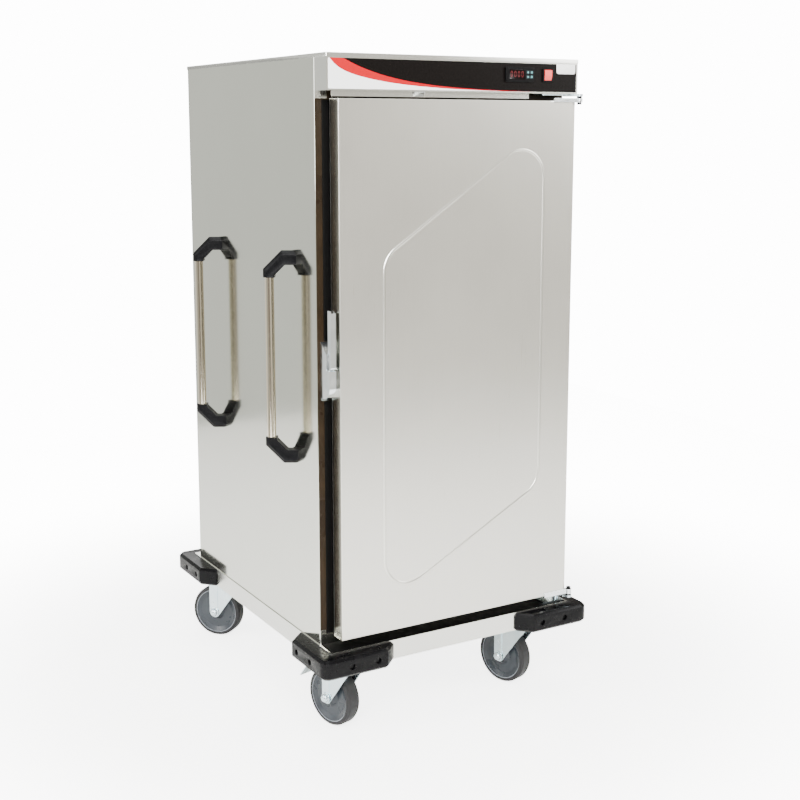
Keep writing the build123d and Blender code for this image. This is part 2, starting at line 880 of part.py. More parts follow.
# Door stops: turned rubber buffers, as long as the gap that the opened door leaves there
with BuildPart() as door_stops:
    short = radians(door_flat - door_swing)
    near_run = stop_run - stop_radius
    stop_reach = hinge_out + (hinge_forward + near_run * sin(short)) / cos(short) - turn_gap
    for height in stop_heights:
        stop_plane = front_plane(right_x, hinge_y + stop_run, base_top + height)
        with BuildSketch(stop_plane):
            with BuildLine():
                Polyline(
                    (0, 0),
                    (0, stop_foot_radius),
                    (stop_foot, stop_radius),
                    (stop_reach - stop_dome, stop_radius),
                    (stop_reach, stop_tip_radius),
                    (stop_reach, stop_bore_radius),
                    (stop_reach - stop_bore_depth, stop_bore_radius),
                    (stop_reach - stop_bore_depth, 0),
                    close=True,
                )
            make_face()
        revolve(axis=Axis(stop_plane.origin, (1, 0, 0)))
keep(door_stops, "door_stops")

# Latch body on the door's left edge: rounded foot, sloping head and the tongue that carries the lever
latch_left = door_left - latch_width
latch_middle = door_left - latch_width / 2
latch_front = front_y + latch_setback
latch_back = face_y - strike_sheet - strike_gap
with BuildPart() as latch_body:
    with BuildSketch(side_plane(latch_left)) as cheek:
        with BuildLine():
            lever_round = lever_depth / 2
            shoulder = lever_y + lever_round + latch_gap
            Polyline(
                (latch_front, base_top + latch_foot),
                (latch_front, lever_z - lever_round - latch_gap),
                (shoulder, lever_z - lever_round - latch_gap),
                (shoulder, base_top + latch_slope_foot),
                (latch_back, base_top + latch_head),
                (latch_back, base_top + latch_foot),
                close=True,
            )
        make_face()
        foot_corner = Vector(latch_front, base_top + latch_foot)
        fillet(cheek.vertices().sort_by_distance(foot_corner)[0], latch_foot_round)
    extrude(amount=latch_width)
    with BuildSketch(side_plane(latch_middle - latch_tongue / 2, lever_y, lever_z)):
        Circle(latch_tongue_radius)
        with Locations((lever_depth / 4 + latch_gap, 0)):
            Rectangle(lever_depth / 2 + latch_gap, 2 * latch_tongue_radius)
    extrude(amount=latch_tongue)
    with BuildSketch(side_plane(latch_middle, lever_y, lever_z)):
        Circle(latch_pin_radius)
    extrude(amount=lever_width / 2, both=True)
keep(latch_body, "latch_body")

# Latch lever: an upright channel, open to the rear, cupped at the top and round at its pivot
with BuildPart() as latch_lever:
    with BuildSketch(side_plane(latch_middle - lever_width / 2, lever_y, lever_z)):
        Circle(lever_depth / 2)
        with Locations((0, lever_rise / 2)):
            Rectangle(lever_depth, lever_rise)
    extrude(amount=lever_width)
    lever_low = (latch_middle - lever_width / 2 + lever_wall, lever_y - lever_depth / 2 + lever_wall)
    slab(
        (*lever_low, lever_z - lever_depth),
        (latch_middle + lever_width / 2 - lever_wall, lever_y + lever_depth, lever_z + 2 * lever_rise),
        Mode.SUBTRACT,
    )
    slab(
        (lever_low[0], lever_y - lever_depth, lever_z + lever_rise - lever_cup),
        (latch_middle + lever_width / 2, lever_y, lever_z + 2 * lever_rise),
        Mode.SUBTRACT,
    )
    with BuildSketch(side_plane(latch_middle, lever_y, lever_z)):
        Circle(latch_pin_radius + running_gap)
    extrude(amount=lever_width, both=True, mode=Mode.SUBTRACT)
keep(latch_lever, "latch_lever")

# Strike plate on the cabinet's front flange
with BuildPart() as latch_strike:
    with BuildSketch(front_plane(left_x, face_y, base_top)):
        with Locations(((strike_setback + door_left_inset) / 2, (strike_foot + strike_head) / 2)):
            RectangleRounded(door_left_inset - strike_setback, strike_head - strike_foot, strike_round)
    extrude(amount=strike_sheet)
keep(latch_strike, "latch_strike")


# Handles on the left side: upright tubes, each held off the panel by two bevelled elbows that lean to the rear
handle_half = handle_length / 2
handle_mouth = handle_half - elbow_cut - elbow_collar
handle_z = base_top + handle_centre
tube_half = handle_mouth + tube_seat
handle_feet = (front_y + handle_front, front_y + handle_front + handle_spacing)
handle_planes = [
    Plane(origin=(left_x, y, handle_z), x_dir=handle_way, z_dir=handle_way.cross(Vector(0, 0, 1)))
    for y in handle_feet
]
tube_places = [plane.from_local_coords((elbow_leg / 2 - handle_reach, 0, 0)) for plane in handle_planes]

with BuildPart() as handle_elbows:
    for plane in handle_planes:
        for up in (1, -1):
            with BuildSketch(plane.offset(-elbow_width / 2)):
                with BuildLine():
                    inner = up * (handle_half - elbow_depth)
                    Polyline(
                        (elbow_width, up * handle_half),
                        (elbow_cut - handle_reach, up * handle_half),
                        (-handle_reach, up * (handle_half - elbow_cut)),
                        (-handle_reach, up * handle_mouth),
                        (elbow_leg - handle_reach, up * handle_mouth),
                        (elbow_leg - handle_reach, up * (handle_mouth + elbow_inner_lip)),
                        (elbow_leg - handle_reach + elbow_inner_cut, inner),
                        (elbow_width, inner),
                        close=True,
                    )
                make_face()
            extrude(amount=elbow_width)
            corner_way = Vector(0, 0, up) - plane.x_dir
            sides = handle_elbows.faces(Select.LAST)
            outer = sides.filter_by(lambda side: side.normal_at().get_angle(corner_way) < elbow_outer_turn)
            chamfer(outer.edges().filter_by(Axis(plane.origin, plane.z_dir), reverse=True), elbow_bevel)
    split(bisect_by=Plane.YZ.offset(left_x), keep=Keep.BOTTOM)
    with Locations(*tube_places):
        Cylinder(tube_radius, 2 * tube_half, mode=Mode.SUBTRACT)
keep(handle_elbows, "handle_elbows")

with BuildPart() as handle_tubes:
    with BuildSketch(Plane.XY.offset(handle_z - tube_half)):
        with Locations(*((place.X, place.Y) for place in tube_places)):
            Circle(tube_radius)
            Circle(tube_radius - tube_wall, mode=Mode.SUBTRACT)
    extrude(amount=2 * tube_half)
keep(handle_tubes, "handle_tubes")

# Casters
swivels = {
    "front_left": swivel_front_left,
    "front_right": swivel_front_right,
    "rear_left": swivel_rear_left,
    "rear_right": swivel_rear_right,
}


def caster_frame(corner):
    """Plane on the floor under a caster's king pin: its x points along the trail."""
    side, end = corners[corner]
    turn = radians(swivels[corner])
    x = middle_x + side * (body_width / 2 - caster_inset_x)
    y = end * (base_depth / 2 - caster_inset_y)
    return Plane(origin=(x, y, 0), x_dir=(-sin(turn), cos(turn), 0), z_dir=(0, 0, 1))


def rolling_plane(frame, out):
    """Upright plane along a caster's trail, out along its axle; its normal points the other way."""
    return Plane(origin=frame.origin + frame.y_dir * out, x_dir=frame.x_dir, z_dir=-frame.y_dir)


def axle_plane(frame):
    """Upright plane through a caster's axle: its x is the axle and its y is up, from the axle."""
    centre = frame.origin + frame.x_dir * caster_trail + frame.z_dir * axle_z
    return Plane(origin=centre, x_dir=frame.y_dir, z_dir=frame.x_dir)


# Caster plates with the fixed race and the king pin under each
with BuildPart() as caster_plates:
    for corner, (side, end) in corners.items():
        frame = caster_frame(corner)
        place = (frame.origin.X, frame.origin.Y)
        layers = (
            (caster_height - plate_thick - race_height, race_height, race_radius),
            (crown_foot - turn_gap - king_nut_height, king_nut_height, king_nut_radius),
            (crown_foot - turn_gap - king_nut_height, caster_height - crown_foot, king_radius),
        )
        with BuildSketch(Plane.XY.offset(caster_height - plate_thick)):
            with Locations(place):
                RectangleRounded(plate_width, plate_length, plate_corner)
        extrude(amount=plate_thick)
        for foot, height, radius in layers:
            with BuildSketch(Plane.XY.offset(foot)):
                with Locations(place):
                    Circle(radius)
            extrude(amount=height)
keep(caster_plates, "caster_plates")


# Fork: a pressed crown with two legs that sweep back to the axle
def fork(frame, braked, name):
    """Make one swivel fork in its caster's frame."""
    leg_out = fork_gap / 2 + fork_sheet
    tail = caster_trail + fork_end
    lean = degrees(atan2(crown_foot - fork_lip - axle_z, caster_trail + fork_nose))
    tangent = radians(lean + 90)
    with BuildPart() as piece:
        for out in (leg_out, -fork_gap / 2):
            with BuildSketch(rolling_plane(frame, out)):
                with BuildLine():
                    Polyline(
                        (tail, axle_z),
                        (tail, crown_top),
                        (-fork_nose, crown_top),
                        (-fork_nose, crown_foot - fork_lip),
                        (caster_trail - fork_end * sin(radians(lean)), axle_z - fork_end * cos(radians(lean))),
                    )
                    ThreePointArc(
                        (caster_trail - fork_end * sin(radians(lean)), axle_z - fork_end * cos(radians(lean))),
                        (
                            caster_trail + fork_end * sin(radians(45) - radians(lean) / 2),
                            axle_z - fork_end * cos(radians(45) - radians(lean) / 2),
                        ),
                        (tail, axle_z),
                    )
                make_face()
            extrude(amount=fork_sheet)
        with BuildSketch(Plane(origin=frame.origin + frame.z_dir * crown_foot, x_dir=frame.x_dir, z_dir=(0, 0, 1))):
            with Locations(((tail - fork_nose) / 2, 0)):
                Rectangle(tail + fork_nose, 2 * leg_out)
        extrude(amount=fork_crown)
        along = piece.edges().filter_by(Axis(frame.origin, frame.x_dir))
        fillet(along.group_by(Axis.Z)[-1], fork_bend)
        rib_head = (crown_foot + axle_z) / 2
        for out in (leg_out + fork_rib_rise, -leg_out):
            with BuildSketch(rolling_plane(frame, out)):
                with Locations((caster_trail, rib_head)):
                    RectangleRounded(fork_rib_width, crown_foot - axle_z, fork_rib_width / 3)
            extrude(amount=fork_rib_rise)
        if braked:
            with BuildSketch(rolling_plane(frame, fork_gap / 2 + fork_sheet / 2)):
                with Locations((pedal_u, pedal_z)):
                    Circle(pedal_pin_radius)
            extrude(amount=fork_gap + fork_sheet)
        with BuildSketch(rolling_plane(frame, hub_width)):
            with Locations((caster_trail, axle_z)):
                Circle(axle_radius + running_gap)
        extrude(amount=2 * hub_width, mode=Mode.SUBTRACT)
        with Locations((frame.origin.X, frame.origin.Y, crown_top)):
            Cylinder(king_radius + running_gap, 4 * fork_crown, mode=Mode.SUBTRACT)
    keep(piece, name)


# Axle: a hexagon bolt through the fork, with its nut
def axle(frame, name):
    """Make one axle bolt and nut in its caster's frame."""
    grip = fork_gap / 2 + fork_sheet + fork_rib_rise
    with BuildPart() as piece:
        for out, length in ((grip + axle_head, axle_head), (-grip, axle_nut)):
            with BuildSketch(rolling_plane(frame, out)):
                with Locations((caster_trail, axle_z)):
                    RegularPolygon(axle_flats, 6, major_radius=False)
            extrude(amount=length)
        with BuildSketch(rolling_plane(frame, grip)):
            with Locations((caster_trail, axle_z)):
                Circle(axle_radius)
        extrude(amount=2 * grip)
    keep(piece, name)


# Wheel core: hub, dished web and rim, turned about the axle
def wheel_core(frame, name):
    """Make one wheel core in its caster's frame."""
    plane = axle_plane(frame)
    bore = axle_radius + running_gap
    half = (
        (hub_width / 2, bore),
        (hub_width / 2, hub_radius),
        (web_width / 2, hub_root_radius),
        (web_width / 2, web_radius),
        (rim_width / 2, rim_radius - rim_depth),
        (rim_width / 2, rim_radius),
    )
    mirrored = [(-across, radius) for across, radius in reversed(half)]
    with BuildPart() as piece:
        with BuildSketch(plane):
            with BuildLine():
                Polyline(*half, *mirrored, close=True)
            make_face()
        revolve(axis=Axis(plane.origin, frame.y_dir))
    keep(piece, name)


# Tyre: a rubber ring on the rim, bevelled twice at its shoulders
def tyre(frame, name):
    """Make one tyre in its caster's frame."""
    plane = axle_plane(frame)
    side = tyre_width / 2
    half = (
        (side, rim_radius),
        (side, wheel_radius - tyre_round),
        (side - tyre_bevel, wheel_radius - tyre_bevel),
        (side - tyre_round, wheel_radius),
    )
    mirrored = [(-across, radius) for across, radius in reversed(half)]
    with BuildPart() as piece:
        with BuildSketch(plane):
            with BuildLine():
                Polyline(*half, *mirrored, close=True)
            make_face()
        revolve(axis=Axis(plane.origin, frame.y_dir))
    keep(piece, name)


# Brake pedal: a bent plate that hangs on the fork's cross pin and reaches out behind the wheel
def brake_pedal(frame, name):
    """Make one brake pedal in its caster's frame."""
    with BuildPart() as piece:
        with BuildSketch(rolling_plane(frame, pedal_width / 2)):
            with BuildLine():
                stem = (0, pedal_eye_radius - pedal_sheet)
                FilletPolyline(
                    (pedal_u + stem[0], pedal_z + stem[1]),
                    (pedal_u + pedal_shoulder[0], pedal_z + pedal_shoulder[1]),
                    (pedal_u + pedal_knee[0], pedal_z + pedal_knee[1]),
                    (pedal_u + pedal_tip[0], pedal_z + pedal_tip[1]),
                    radius=pedal_bend,
                )
                offset(amount=pedal_sheet, side=Side.LEFT)
            make_face()
            with Locations((pedal_u, pedal_z)):
                Circle(pedal_eye_radius)
                Circle(pedal_pin_radius + running_gap, mode=Mode.SUBTRACT)
        extrude(amount=pedal_width)
    keep(piece, name)


for corner, (side, end) in corners.items():
    frame = caster_frame(corner)
    fork(frame, end < 0, f"fork_{corner}")
    axle(frame, f"axle_{corner}")
    wheel_core(frame, f"wheel_core_{corner}")
    tyre(frame, f"tyre_{corner}")
    if end < 0:
        brake_pedal(frame, f"brake_pedal_{corner}")

# Fan motor in the roof space, on a flange over the insulation
with BuildPart() as fan_motor:
    with BuildSketch(Plane.XY.offset(slab_head)):
        with Locations((middle_x, air_y)):
            RectangleRounded(motor_flange, motor_flange, motor_round)
    extrude(amount=motor_flange_thick)
    with BuildSketch(Plane.XY.offset(slab_head)):
        with Locations((middle_x, air_y)):
            Circle(motor_radius)
    extrude(amount=motor_height)
    chamfer(fan_motor.faces().sort_by(Axis.Z)[-1].edges(), motor_round)
    with BuildSketch(Plane.XY.offset(slab_head)):
        with Locations((middle_x, air_y)):
            Circle(shaft_radius + running_gap)
    extrude(amount=motor_bore_depth, mode=Mode.SUBTRACT)
keep(fan_motor, "fan_motor")

# Fan wheel: shaft, hub, disc and curved-back blades
with BuildPart() as fan_wheel:
    disc_foot = cavity_head - fan_drop - fan_disc
    with BuildSketch(Plane.XY.offset(disc_foot - fan_height)):
        with Locations((middle_x, air_y)):
            Circle(shaft_radius)
    extrude(amount=slab_head + motor_bore_depth - turn_gap - disc_foot + fan_height)
    with BuildSketch(Plane.XY.offset(disc_foot - fan_height)):
        with Locations((middle_x, air_y)):
            Circle(fan_hub_radius)
    extrude(amount=fan_height + fan_disc)
    with BuildSketch(Plane.XY.offset(disc_foot)):
        with Locations((middle_x, air_y)):
            Circle(fan_radius)
    extrude(amount=fan_disc)
    with BuildSketch(Plane.XY.offset(disc_foot - fan_height)):
        with Locations((middle_x, air_y)):
            with PolarLocations(fan_radius - fan_blade_length / 2, fan_blades):
                Rectangle(fan_blade_length, fan_blade_thick, rotation=fan_blade_turn)
    extrude(amount=fan_height)
keep(fan_wheel, "fan_wheel")

# Heater: a tubular ring round the fan wheel, hung from the ceiling by its legs
with BuildPart() as heater_element:
    ring_z = cavity_head - fan_drop - fan_height / 2
    with BuildSketch(side_plane(middle_x, air_y, ring_z)):
        with Locations((heater_ring_radius, 0)):
            RegularPolygon(heater_radius, heater_sides)
    revolve(axis=Axis((middle_x, air_y, ring_z), (0, 0, 1)))
    with BuildSketch(Plane.XY.offset(ring_z)):
        with Locations((middle_x, air_y)):
            with PolarLocations(heater_ring_radius, heater_legs):
                Circle(heater_leg_radius)
    extrude(amount=cavity_head - ring_z)
keep(heater_element, "heater_element")

# Air baffle: a sheet under the fan, with inlet holes, hung from the ceiling by two folded sides
with BuildPart() as air_baffle:
    baffle_foot = cavity_head - baffle_drop
    half = baffle_size / 2
    slab(
        (middle_x - half, air_y - half, baffle_foot),
        (middle_x + half, air_y + half, baffle_foot + baffle_sheet),
    )
    for low_x in (middle_x - half, middle_x + half - baffle_sheet):
        slab((low_x, air_y - half, baffle_foot), (low_x + baffle_sheet, air_y + half, cavity_head))
    with BuildSketch(Plane.XY.offset(baffle_foot)):
        with Locations((middle_x, air_y)):
            Circle(inlet_hole_radius)
            with PolarLocations(inlet_ring_radius, inlet_ring_count):
                Circle(inlet_hole_radius)
            with PolarLocations(inlet_outer_radius, inlet_outer_count):
                Circle(inlet_hole_radius)
    extrude(amount=baffle_sheet, mode=Mode.SUBTRACT)
keep(air_baffle, "air_baffle")


# Tray racks: two channel uprights a side, with angle runners across them
def tray_rack(wall_x, inward, name):
    """Make one side's rack from the liner's face and the direction into the tray space."""
    shelf_x = middle_x - inward * (tray_width / 2 + tray_play)
    web_x = shelf_x - inward * (runner_sheet + runner_gap)
    seat_x = wall_x + inward * upright_gap
    deep = (web_x - seat_x) * inward
    with BuildPart() as rack:
        for centre in (upright_front, upright_rear):
            with BuildSketch(Plane.XY.offset(cavity_floor)):
                with BuildLine():
                    low = face_y + centre - upright_width / 2
                    high = face_y + centre + upright_width / 2
                    thick = upright_sheet
                    Polyline(
                        (web_x, low),
                        (web_x, high),
                        (web_x - inward * deep, high),
                        (web_x - inward * deep, high - thick),
                        (web_x - inward * thick, high - thick),
                        (web_x - inward * thick, low + thick),
                        (web_x - inward * deep, low + thick),
                        (web_x - inward * deep, low),
                        close=True,
                    )
                make_face()
            extrude(amount=rack_first + rack_pitch * (rack_levels - 1) + upright_head)
        for level in range(rack_levels):
            shelf_z = cavity_floor + rack_first + rack_pitch * level
            with BuildSketch(front_plane(shelf_x, face_y + runner_setback + runner_length, shelf_z)):
                with BuildLine():
                    Polyline(
                        (-inward * runner_sheet, 0),
                        (inward * runner_shelf, 0),
                        (inward * runner_shelf, runner_sheet),
                        (0, runner_sheet),
                        (0, runner_leg),
                        (-inward * runner_sheet, runner_leg),
                        close=True,
                    )
                make_face()
            extrude(amount=runner_length)
    keep(rack, name)


tray_rack(cavity_left, 1, "tray_rack_left")
tray_rack(cavity_right, -1, "tray_rack_right")

# Mains inlet: a flanged socket on the rear panel, with three contact pins
with BuildPart() as mains_inlet:
    inlet_plane = Plane(
        origin=(inlet_x, rear_y - skin, inlet_z),
        x_dir=(-1, 0, 0),
        z_dir=(0, 1, 0),
    )
    with BuildSketch(inlet_plane):
        RectangleRounded(inlet_flange, inlet_flange, inlet_flange_corner)
    extrude(amount=inlet_flange_thick)
    with BuildSketch(inlet_plane):
        Circle(inlet_radius)
    extrude(amount=inlet_length)
    with BuildSketch(inlet_plane):
        Circle(inlet_body_radius)
    extrude(amount=-inlet_body_depth)
    with BuildSketch(inlet_plane.offset(inlet_flange_thick)):
        Circle(inlet_radius - inlet_wall)
    extrude(amount=inlet_length, mode=Mode.SUBTRACT)
    with BuildSketch(inlet_plane.offset(inlet_flange_thick)):
        with PolarLocations(inlet_pin_ring_radius, inlet_pins):
            Circle(inlet_pin_radius)
    extrude(amount=inlet_pin_length)
keep(mains_inlet, "mains_inlet")
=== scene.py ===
"""Looks of the heated banquet cart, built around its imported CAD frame.

The CAD nodes get their finishes, and three of them are remodelled with softer edges. The classes below add
what the solids leave out: badge, display and key marks, the trim round the door, rivets, screws, bolts,
nuts, seals and the lines of the wheels. Lengths in their fields are millimetres, unless a comment or the
class says metres.
"""
from __future__ import annotations

import json
import logging
import math
from contextlib import contextmanager
from dataclasses import dataclass
from enum import Enum
from typing import Callable, Iterator, Sequence

import bmesh
import bpy
from mathutils import Matrix, Vector


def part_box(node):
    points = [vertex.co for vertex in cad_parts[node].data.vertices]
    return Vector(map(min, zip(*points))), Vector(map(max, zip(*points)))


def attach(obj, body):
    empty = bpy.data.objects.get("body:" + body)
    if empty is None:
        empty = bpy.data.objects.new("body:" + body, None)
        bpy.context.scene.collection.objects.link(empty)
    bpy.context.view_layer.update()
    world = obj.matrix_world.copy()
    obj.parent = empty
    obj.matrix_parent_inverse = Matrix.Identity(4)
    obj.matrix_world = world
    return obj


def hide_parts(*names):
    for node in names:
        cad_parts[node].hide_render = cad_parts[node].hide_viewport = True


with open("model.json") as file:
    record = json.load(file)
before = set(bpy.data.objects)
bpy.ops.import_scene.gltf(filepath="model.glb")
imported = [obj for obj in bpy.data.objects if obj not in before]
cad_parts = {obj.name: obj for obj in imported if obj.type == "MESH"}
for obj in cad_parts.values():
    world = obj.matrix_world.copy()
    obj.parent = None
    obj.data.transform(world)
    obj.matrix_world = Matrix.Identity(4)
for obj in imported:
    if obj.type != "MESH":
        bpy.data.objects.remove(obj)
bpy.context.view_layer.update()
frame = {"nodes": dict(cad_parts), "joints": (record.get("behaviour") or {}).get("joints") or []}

log = logging.getLogger("banquet_cart")

MM = 0.001
# Least share of a normal or an edge along an axis that counts as facing it.
FACING = 0.9
# Values between which a noise pattern mostly stays.
NOISE_LOW = 0.3
NOISE_HIGH = 0.7
Object = bpy.types.Object
Material = bpy.types.Material
Tree = bpy.types.ShaderNodeTree
Node = bpy.types.Node
Socket = bpy.types.NodeSocket
Point = tuple[float, float, float]
Extent = tuple[float, float, float, float]
Profile = tuple[tuple[float, float], ...]


def linear(hex_colour: str) -> tuple[float, float, float, float]:
    """Turn an sRGB hex colour into linear light.

    Args:
        hex_colour: Six hex digits, with or without a leading hash.

    Returns:
        Red, green, blue and an alpha of 1.
    """
    digits = hex_colour.lstrip("#")
    channels = [int(digits[i:i + 2], 16) / 255 for i in (0, 2, 4)]
    lit = [c / 12.92 if c <= 0.04045 else ((c + 0.055) / 1.055) ** 2.4 for c in channels]
    return (*lit, 1.0)


def add_node(tree: Tree, kind: str, inputs: dict | None = None, **settings: object) -> Node:
    """Add one shader node with its settings, input values and links.

    Args:
        tree: The node tree that gets it.
        kind: The node's type name.
        inputs: Socket name or number to a value, or to the output socket that feeds it.
        **settings: Properties of the node itself.

    Returns:
        The new node.
    """
    node = tree.nodes.new(kind)
    for name, value in settings.items():
        setattr(node, name, value)
    for key, value in (inputs or {}).items():
        if isinstance(value, Socket):
            tree.links.new(value, node.inputs[key])
        else:
            node.inputs[key].default_value = value
    return node


def spot(node: str, x: float, y: float, z: float) -> Vector:
    """Find a point in the box of a CAD node at rest.

    Args:
        node: The node's name.
        x: Share of the box's width, from its low corner; y and z likewise.
        y: Share of its depth.
        z: Share of its height.

    Returns:
        The point, in metres.
    """
    low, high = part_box(node)
    return Vector([a + (b - a) * share for a, b, share in zip(low, high, (x, y, z))])


class Grain(Enum):
    """Direction of a brushed finish, as the stretch of its pattern along X, Y and Z."""

    UPRIGHT = (1.0, 1.0, 0.012)
    ACROSS = (0.012, 1.0, 1.0)
    ALONG = (1.0, 0.012, 1.0)


@dataclass(frozen=True)
class Finish:
    """A material: its name, its colour and the constants of its shader."""

    name: str
    colour: str
    roughness: float
    metallic: float = 0.0
    ior: float = 1.5
    specular: float = 0.5

    def make(self) -> Material:
        """Build the material.

        Returns:
            A new node material.
        """
        material = bpy.data.materials.new(self.name)
        material.use_nodes = True
        tree = material.node_tree
        tree.nodes.clear()
        shader = add_node(tree, "ShaderNodeBsdfPrincipled", {
            "Base Color": linear(self.colour),
            "Roughness": self.roughness,
            "Metallic": self.metallic,
            "IOR": self.ior,
            "Specular IOR Level": self.specular,
        })
        add_node(tree, "ShaderNodeOutputMaterial", {"Surface": shader.outputs["BSDF"]})
        place = add_node(tree, "ShaderNodeTexCoord").outputs["Object"]
        self.dress(tree, shader, place)
        material.diffuse_color = linear(self.colour)
        return material

    def dress(self, tree: Tree, shader: Node, place: Socket) -> None:
        """Add the surface's own pattern; the plain finish has none.

        Args:
            tree: The material's node tree.
            shader: Its principled shader.
            place: Object coordinates, in metres.
        """


@dataclass(frozen=True)
class BrushedSteel(Finish):
    """Stainless sheet, brushed with a belt: fine streaks along the grain and a soft, cloudy sheen."""

    metallic: float = 1.0
    grain: Grain = Grain.UPRIGHT
    streak_mm: float = 1.6
    cloud_mm: float = 260.0
    cloud_share: float = 0.45
    streak_depth: float = 0.10
    cloud_depth: float = 0.10
    bump: float = 0.05
    relief_mm: float = 0.2

    def dress(self, tree: Tree, shader: Node, place: Socket) -> None:
        """Streaks and clouds, the streaks coarser than the real grit of about 0.1 mm so that they show.

        Args:
            tree: The material's node tree.
            shader: Its principled shader.
            place: Object coordinates, in metres.
        """
        stretched = add_node(tree, "ShaderNodeMapping", {"Vector": place, "Scale": self.grain.value})
        streaks = add_node(tree, "ShaderNodeTexNoise", {
            "Vector": stretched.outputs["Vector"],
            "Scale": 1.0 / (self.streak_mm * MM),
            "Detail": 3.0,
            "Roughness": 0.6,
        })
        clouds = add_node(tree, "ShaderNodeTexNoise", {
            "Vector": place,
            "Scale": 1.0 / (self.cloud_mm * MM),
            "Detail": 4.0,
            "Roughness": 0.5,
        })
        both = add_node(tree, "ShaderNodeMix", {
            "Factor": self.cloud_share,
            "A": streaks.outputs["Fac"],
            "B": clouds.outputs["Fac"],
        }, data_type="FLOAT")
        pale = linear(self.colour)
        dark = tuple(c * (1.0 - self.streak_depth) for c in pale[:3])
        tone = add_node(tree, "ShaderNodeValToRGB", {"Fac": both.outputs["Result"]})
        tone.color_ramp.elements[0].position = NOISE_LOW
        tone.color_ramp.elements[0].color = (*dark, 1.0)
        tone.color_ramp.elements[1].position = NOISE_HIGH
        tone.color_ramp.elements[1].color = pale
        tree.links.new(tone.outputs["Color"], shader.inputs["Base Color"])
        gloss = add_node(tree, "ShaderNodeMapRange", {
            "Value": both.outputs["Result"],
            "From Min": NOISE_LOW,
            "From Max": NOISE_HIGH,
            "To Min": self.roughness - self.cloud_depth / 2,
            "To Max": self.roughness + self.cloud_depth / 2,
        })
        tree.links.new(gloss.outputs["Result"], shader.inputs["Roughness"])
        relief = add_node(tree, "ShaderNodeBump", {
            "Height": streaks.outputs["Fac"],
            "Strength": self.bump,
            "Distance": self.relief_mm * MM,
        })
        tree.links.new(relief.outputs["Normal"], shader.inputs["Normal"])


@dataclass(frozen=True)
class FoldedDoorSteel(BrushedSteel):
    """Door sheet: a brushed face, and smoother folds round its edge that the belt doesn't reach; the folds'
    darker colour is painted shade.
    """

    # The door's face, in metres.
    front: float = spot("door_skin", 0, 0, 0).y
    fold_mm: float = 3.0
    # Darker colour of the folds: painted shade.
    fold_shade_colour: str = "#ABA99F"
    fold_roughness: float = 0.20

    def dress(self, tree: Tree, shader: Node, place: Socket) -> None:
        """The folds start a few millimetres behind the face and mirror the dark frame beside them; their
        darker colour is painted shade.

        Args:
            tree: The material's node tree.
            shader: Its principled shader.
            place: Object coordinates, in metres.
        """
        super().dress(tree, shader, place)
        depth = add_node(tree, "ShaderNodeSeparateXYZ", {"Vector": place}).outputs["Y"]
        on_shaded_fold = add_node(tree, "ShaderNodeMath", {
            0: depth, 1: self.front + self.fold_mm * MM,
        }, operation="GREATER_THAN").outputs[0]
        # The folds take the painted shade colour and a smoother gloss.
        for socket, kind, value in (
            ("Base Color", "RGBA", linear(self.fold_shade_colour)),
            ("Roughness", "FLOAT", self.fold_roughness),
        ):
            brushed = shader.inputs[socket].links[0].from_socket
            mixed = add_node(tree, "ShaderNodeMix", {
                "Factor": on_shaded_fold, "A": brushed, "B": value,
            }, data_type=kind)
            tree.links.new(mixed.outputs["Result"], shader.inputs[socket])


@dataclass(frozen=True)
class Mottled(Finish):
    """A surface with two tones in soft patches and a fine grain: mouldings, rubber, castings, plating."""

    second: str = "#000000"
    patch_mm: float = 12.0
    grain_mm: float = 0.8
    contrast: float = 0.5
    spread: float = 0.12
    smoothest: float = 0.02
    bump: float = 0.15
    depth_mm: float = 0.2

    def dress(self, tree: Tree, shader: Node, place: Socket) -> None:
        """Patches vary the colour and the gloss, and the grain is in the bump.

        Args:
            tree: The material's node tree.
            shader: Its principled shader.
            place: Object coordinates, in metres.
        """
        patches = add_node(tree, "ShaderNodeTexNoise", {
            "Vector": place,
            "Scale": 1.0 / (self.patch_mm * MM),
            "Detail": 5.0,
            "Roughness": 0.55,
        })
        tone = add_node(tree, "ShaderNodeValToRGB", {"Fac": patches.outputs["Fac"]})
        tone.color_ramp.elements[0].position = 0.5 - 0.5 * self.contrast
        tone.color_ramp.elements[0].color = linear(self.second)
        tone.color_ramp.elements[1].position = 0.5 + 0.5 * self.contrast
        tone.color_ramp.elements[1].color = linear(self.colour)
        tree.links.new(tone.outputs["Color"], shader.inputs["Base Color"])
        gloss = add_node(tree, "ShaderNodeMapRange", {
            "Value": patches.outputs["Fac"],
            "From Min": NOISE_LOW,
            "From Max": NOISE_HIGH,
            "To Min": max(self.smoothest, self.roughness - self.spread / 2),
            "To Max": min(1.0, self.roughness + self.spread / 2),
        })
        tree.links.new(gloss.outputs["Result"], shader.inputs["Roughness"])
        grit = add_node(tree, "ShaderNodeTexVoronoi", {
            "Vector": place,
            "Scale": 1.0 / (self.grain_mm * MM),
        })
        relief = add_node(tree, "ShaderNodeBump", {
            "Height": grit.outputs["Distance"],
            "Strength": self.bump,
            "Distance": self.depth_mm * MM,
        })
        tree.links.new(relief.outputs["Normal"], shader.inputs["Normal"])


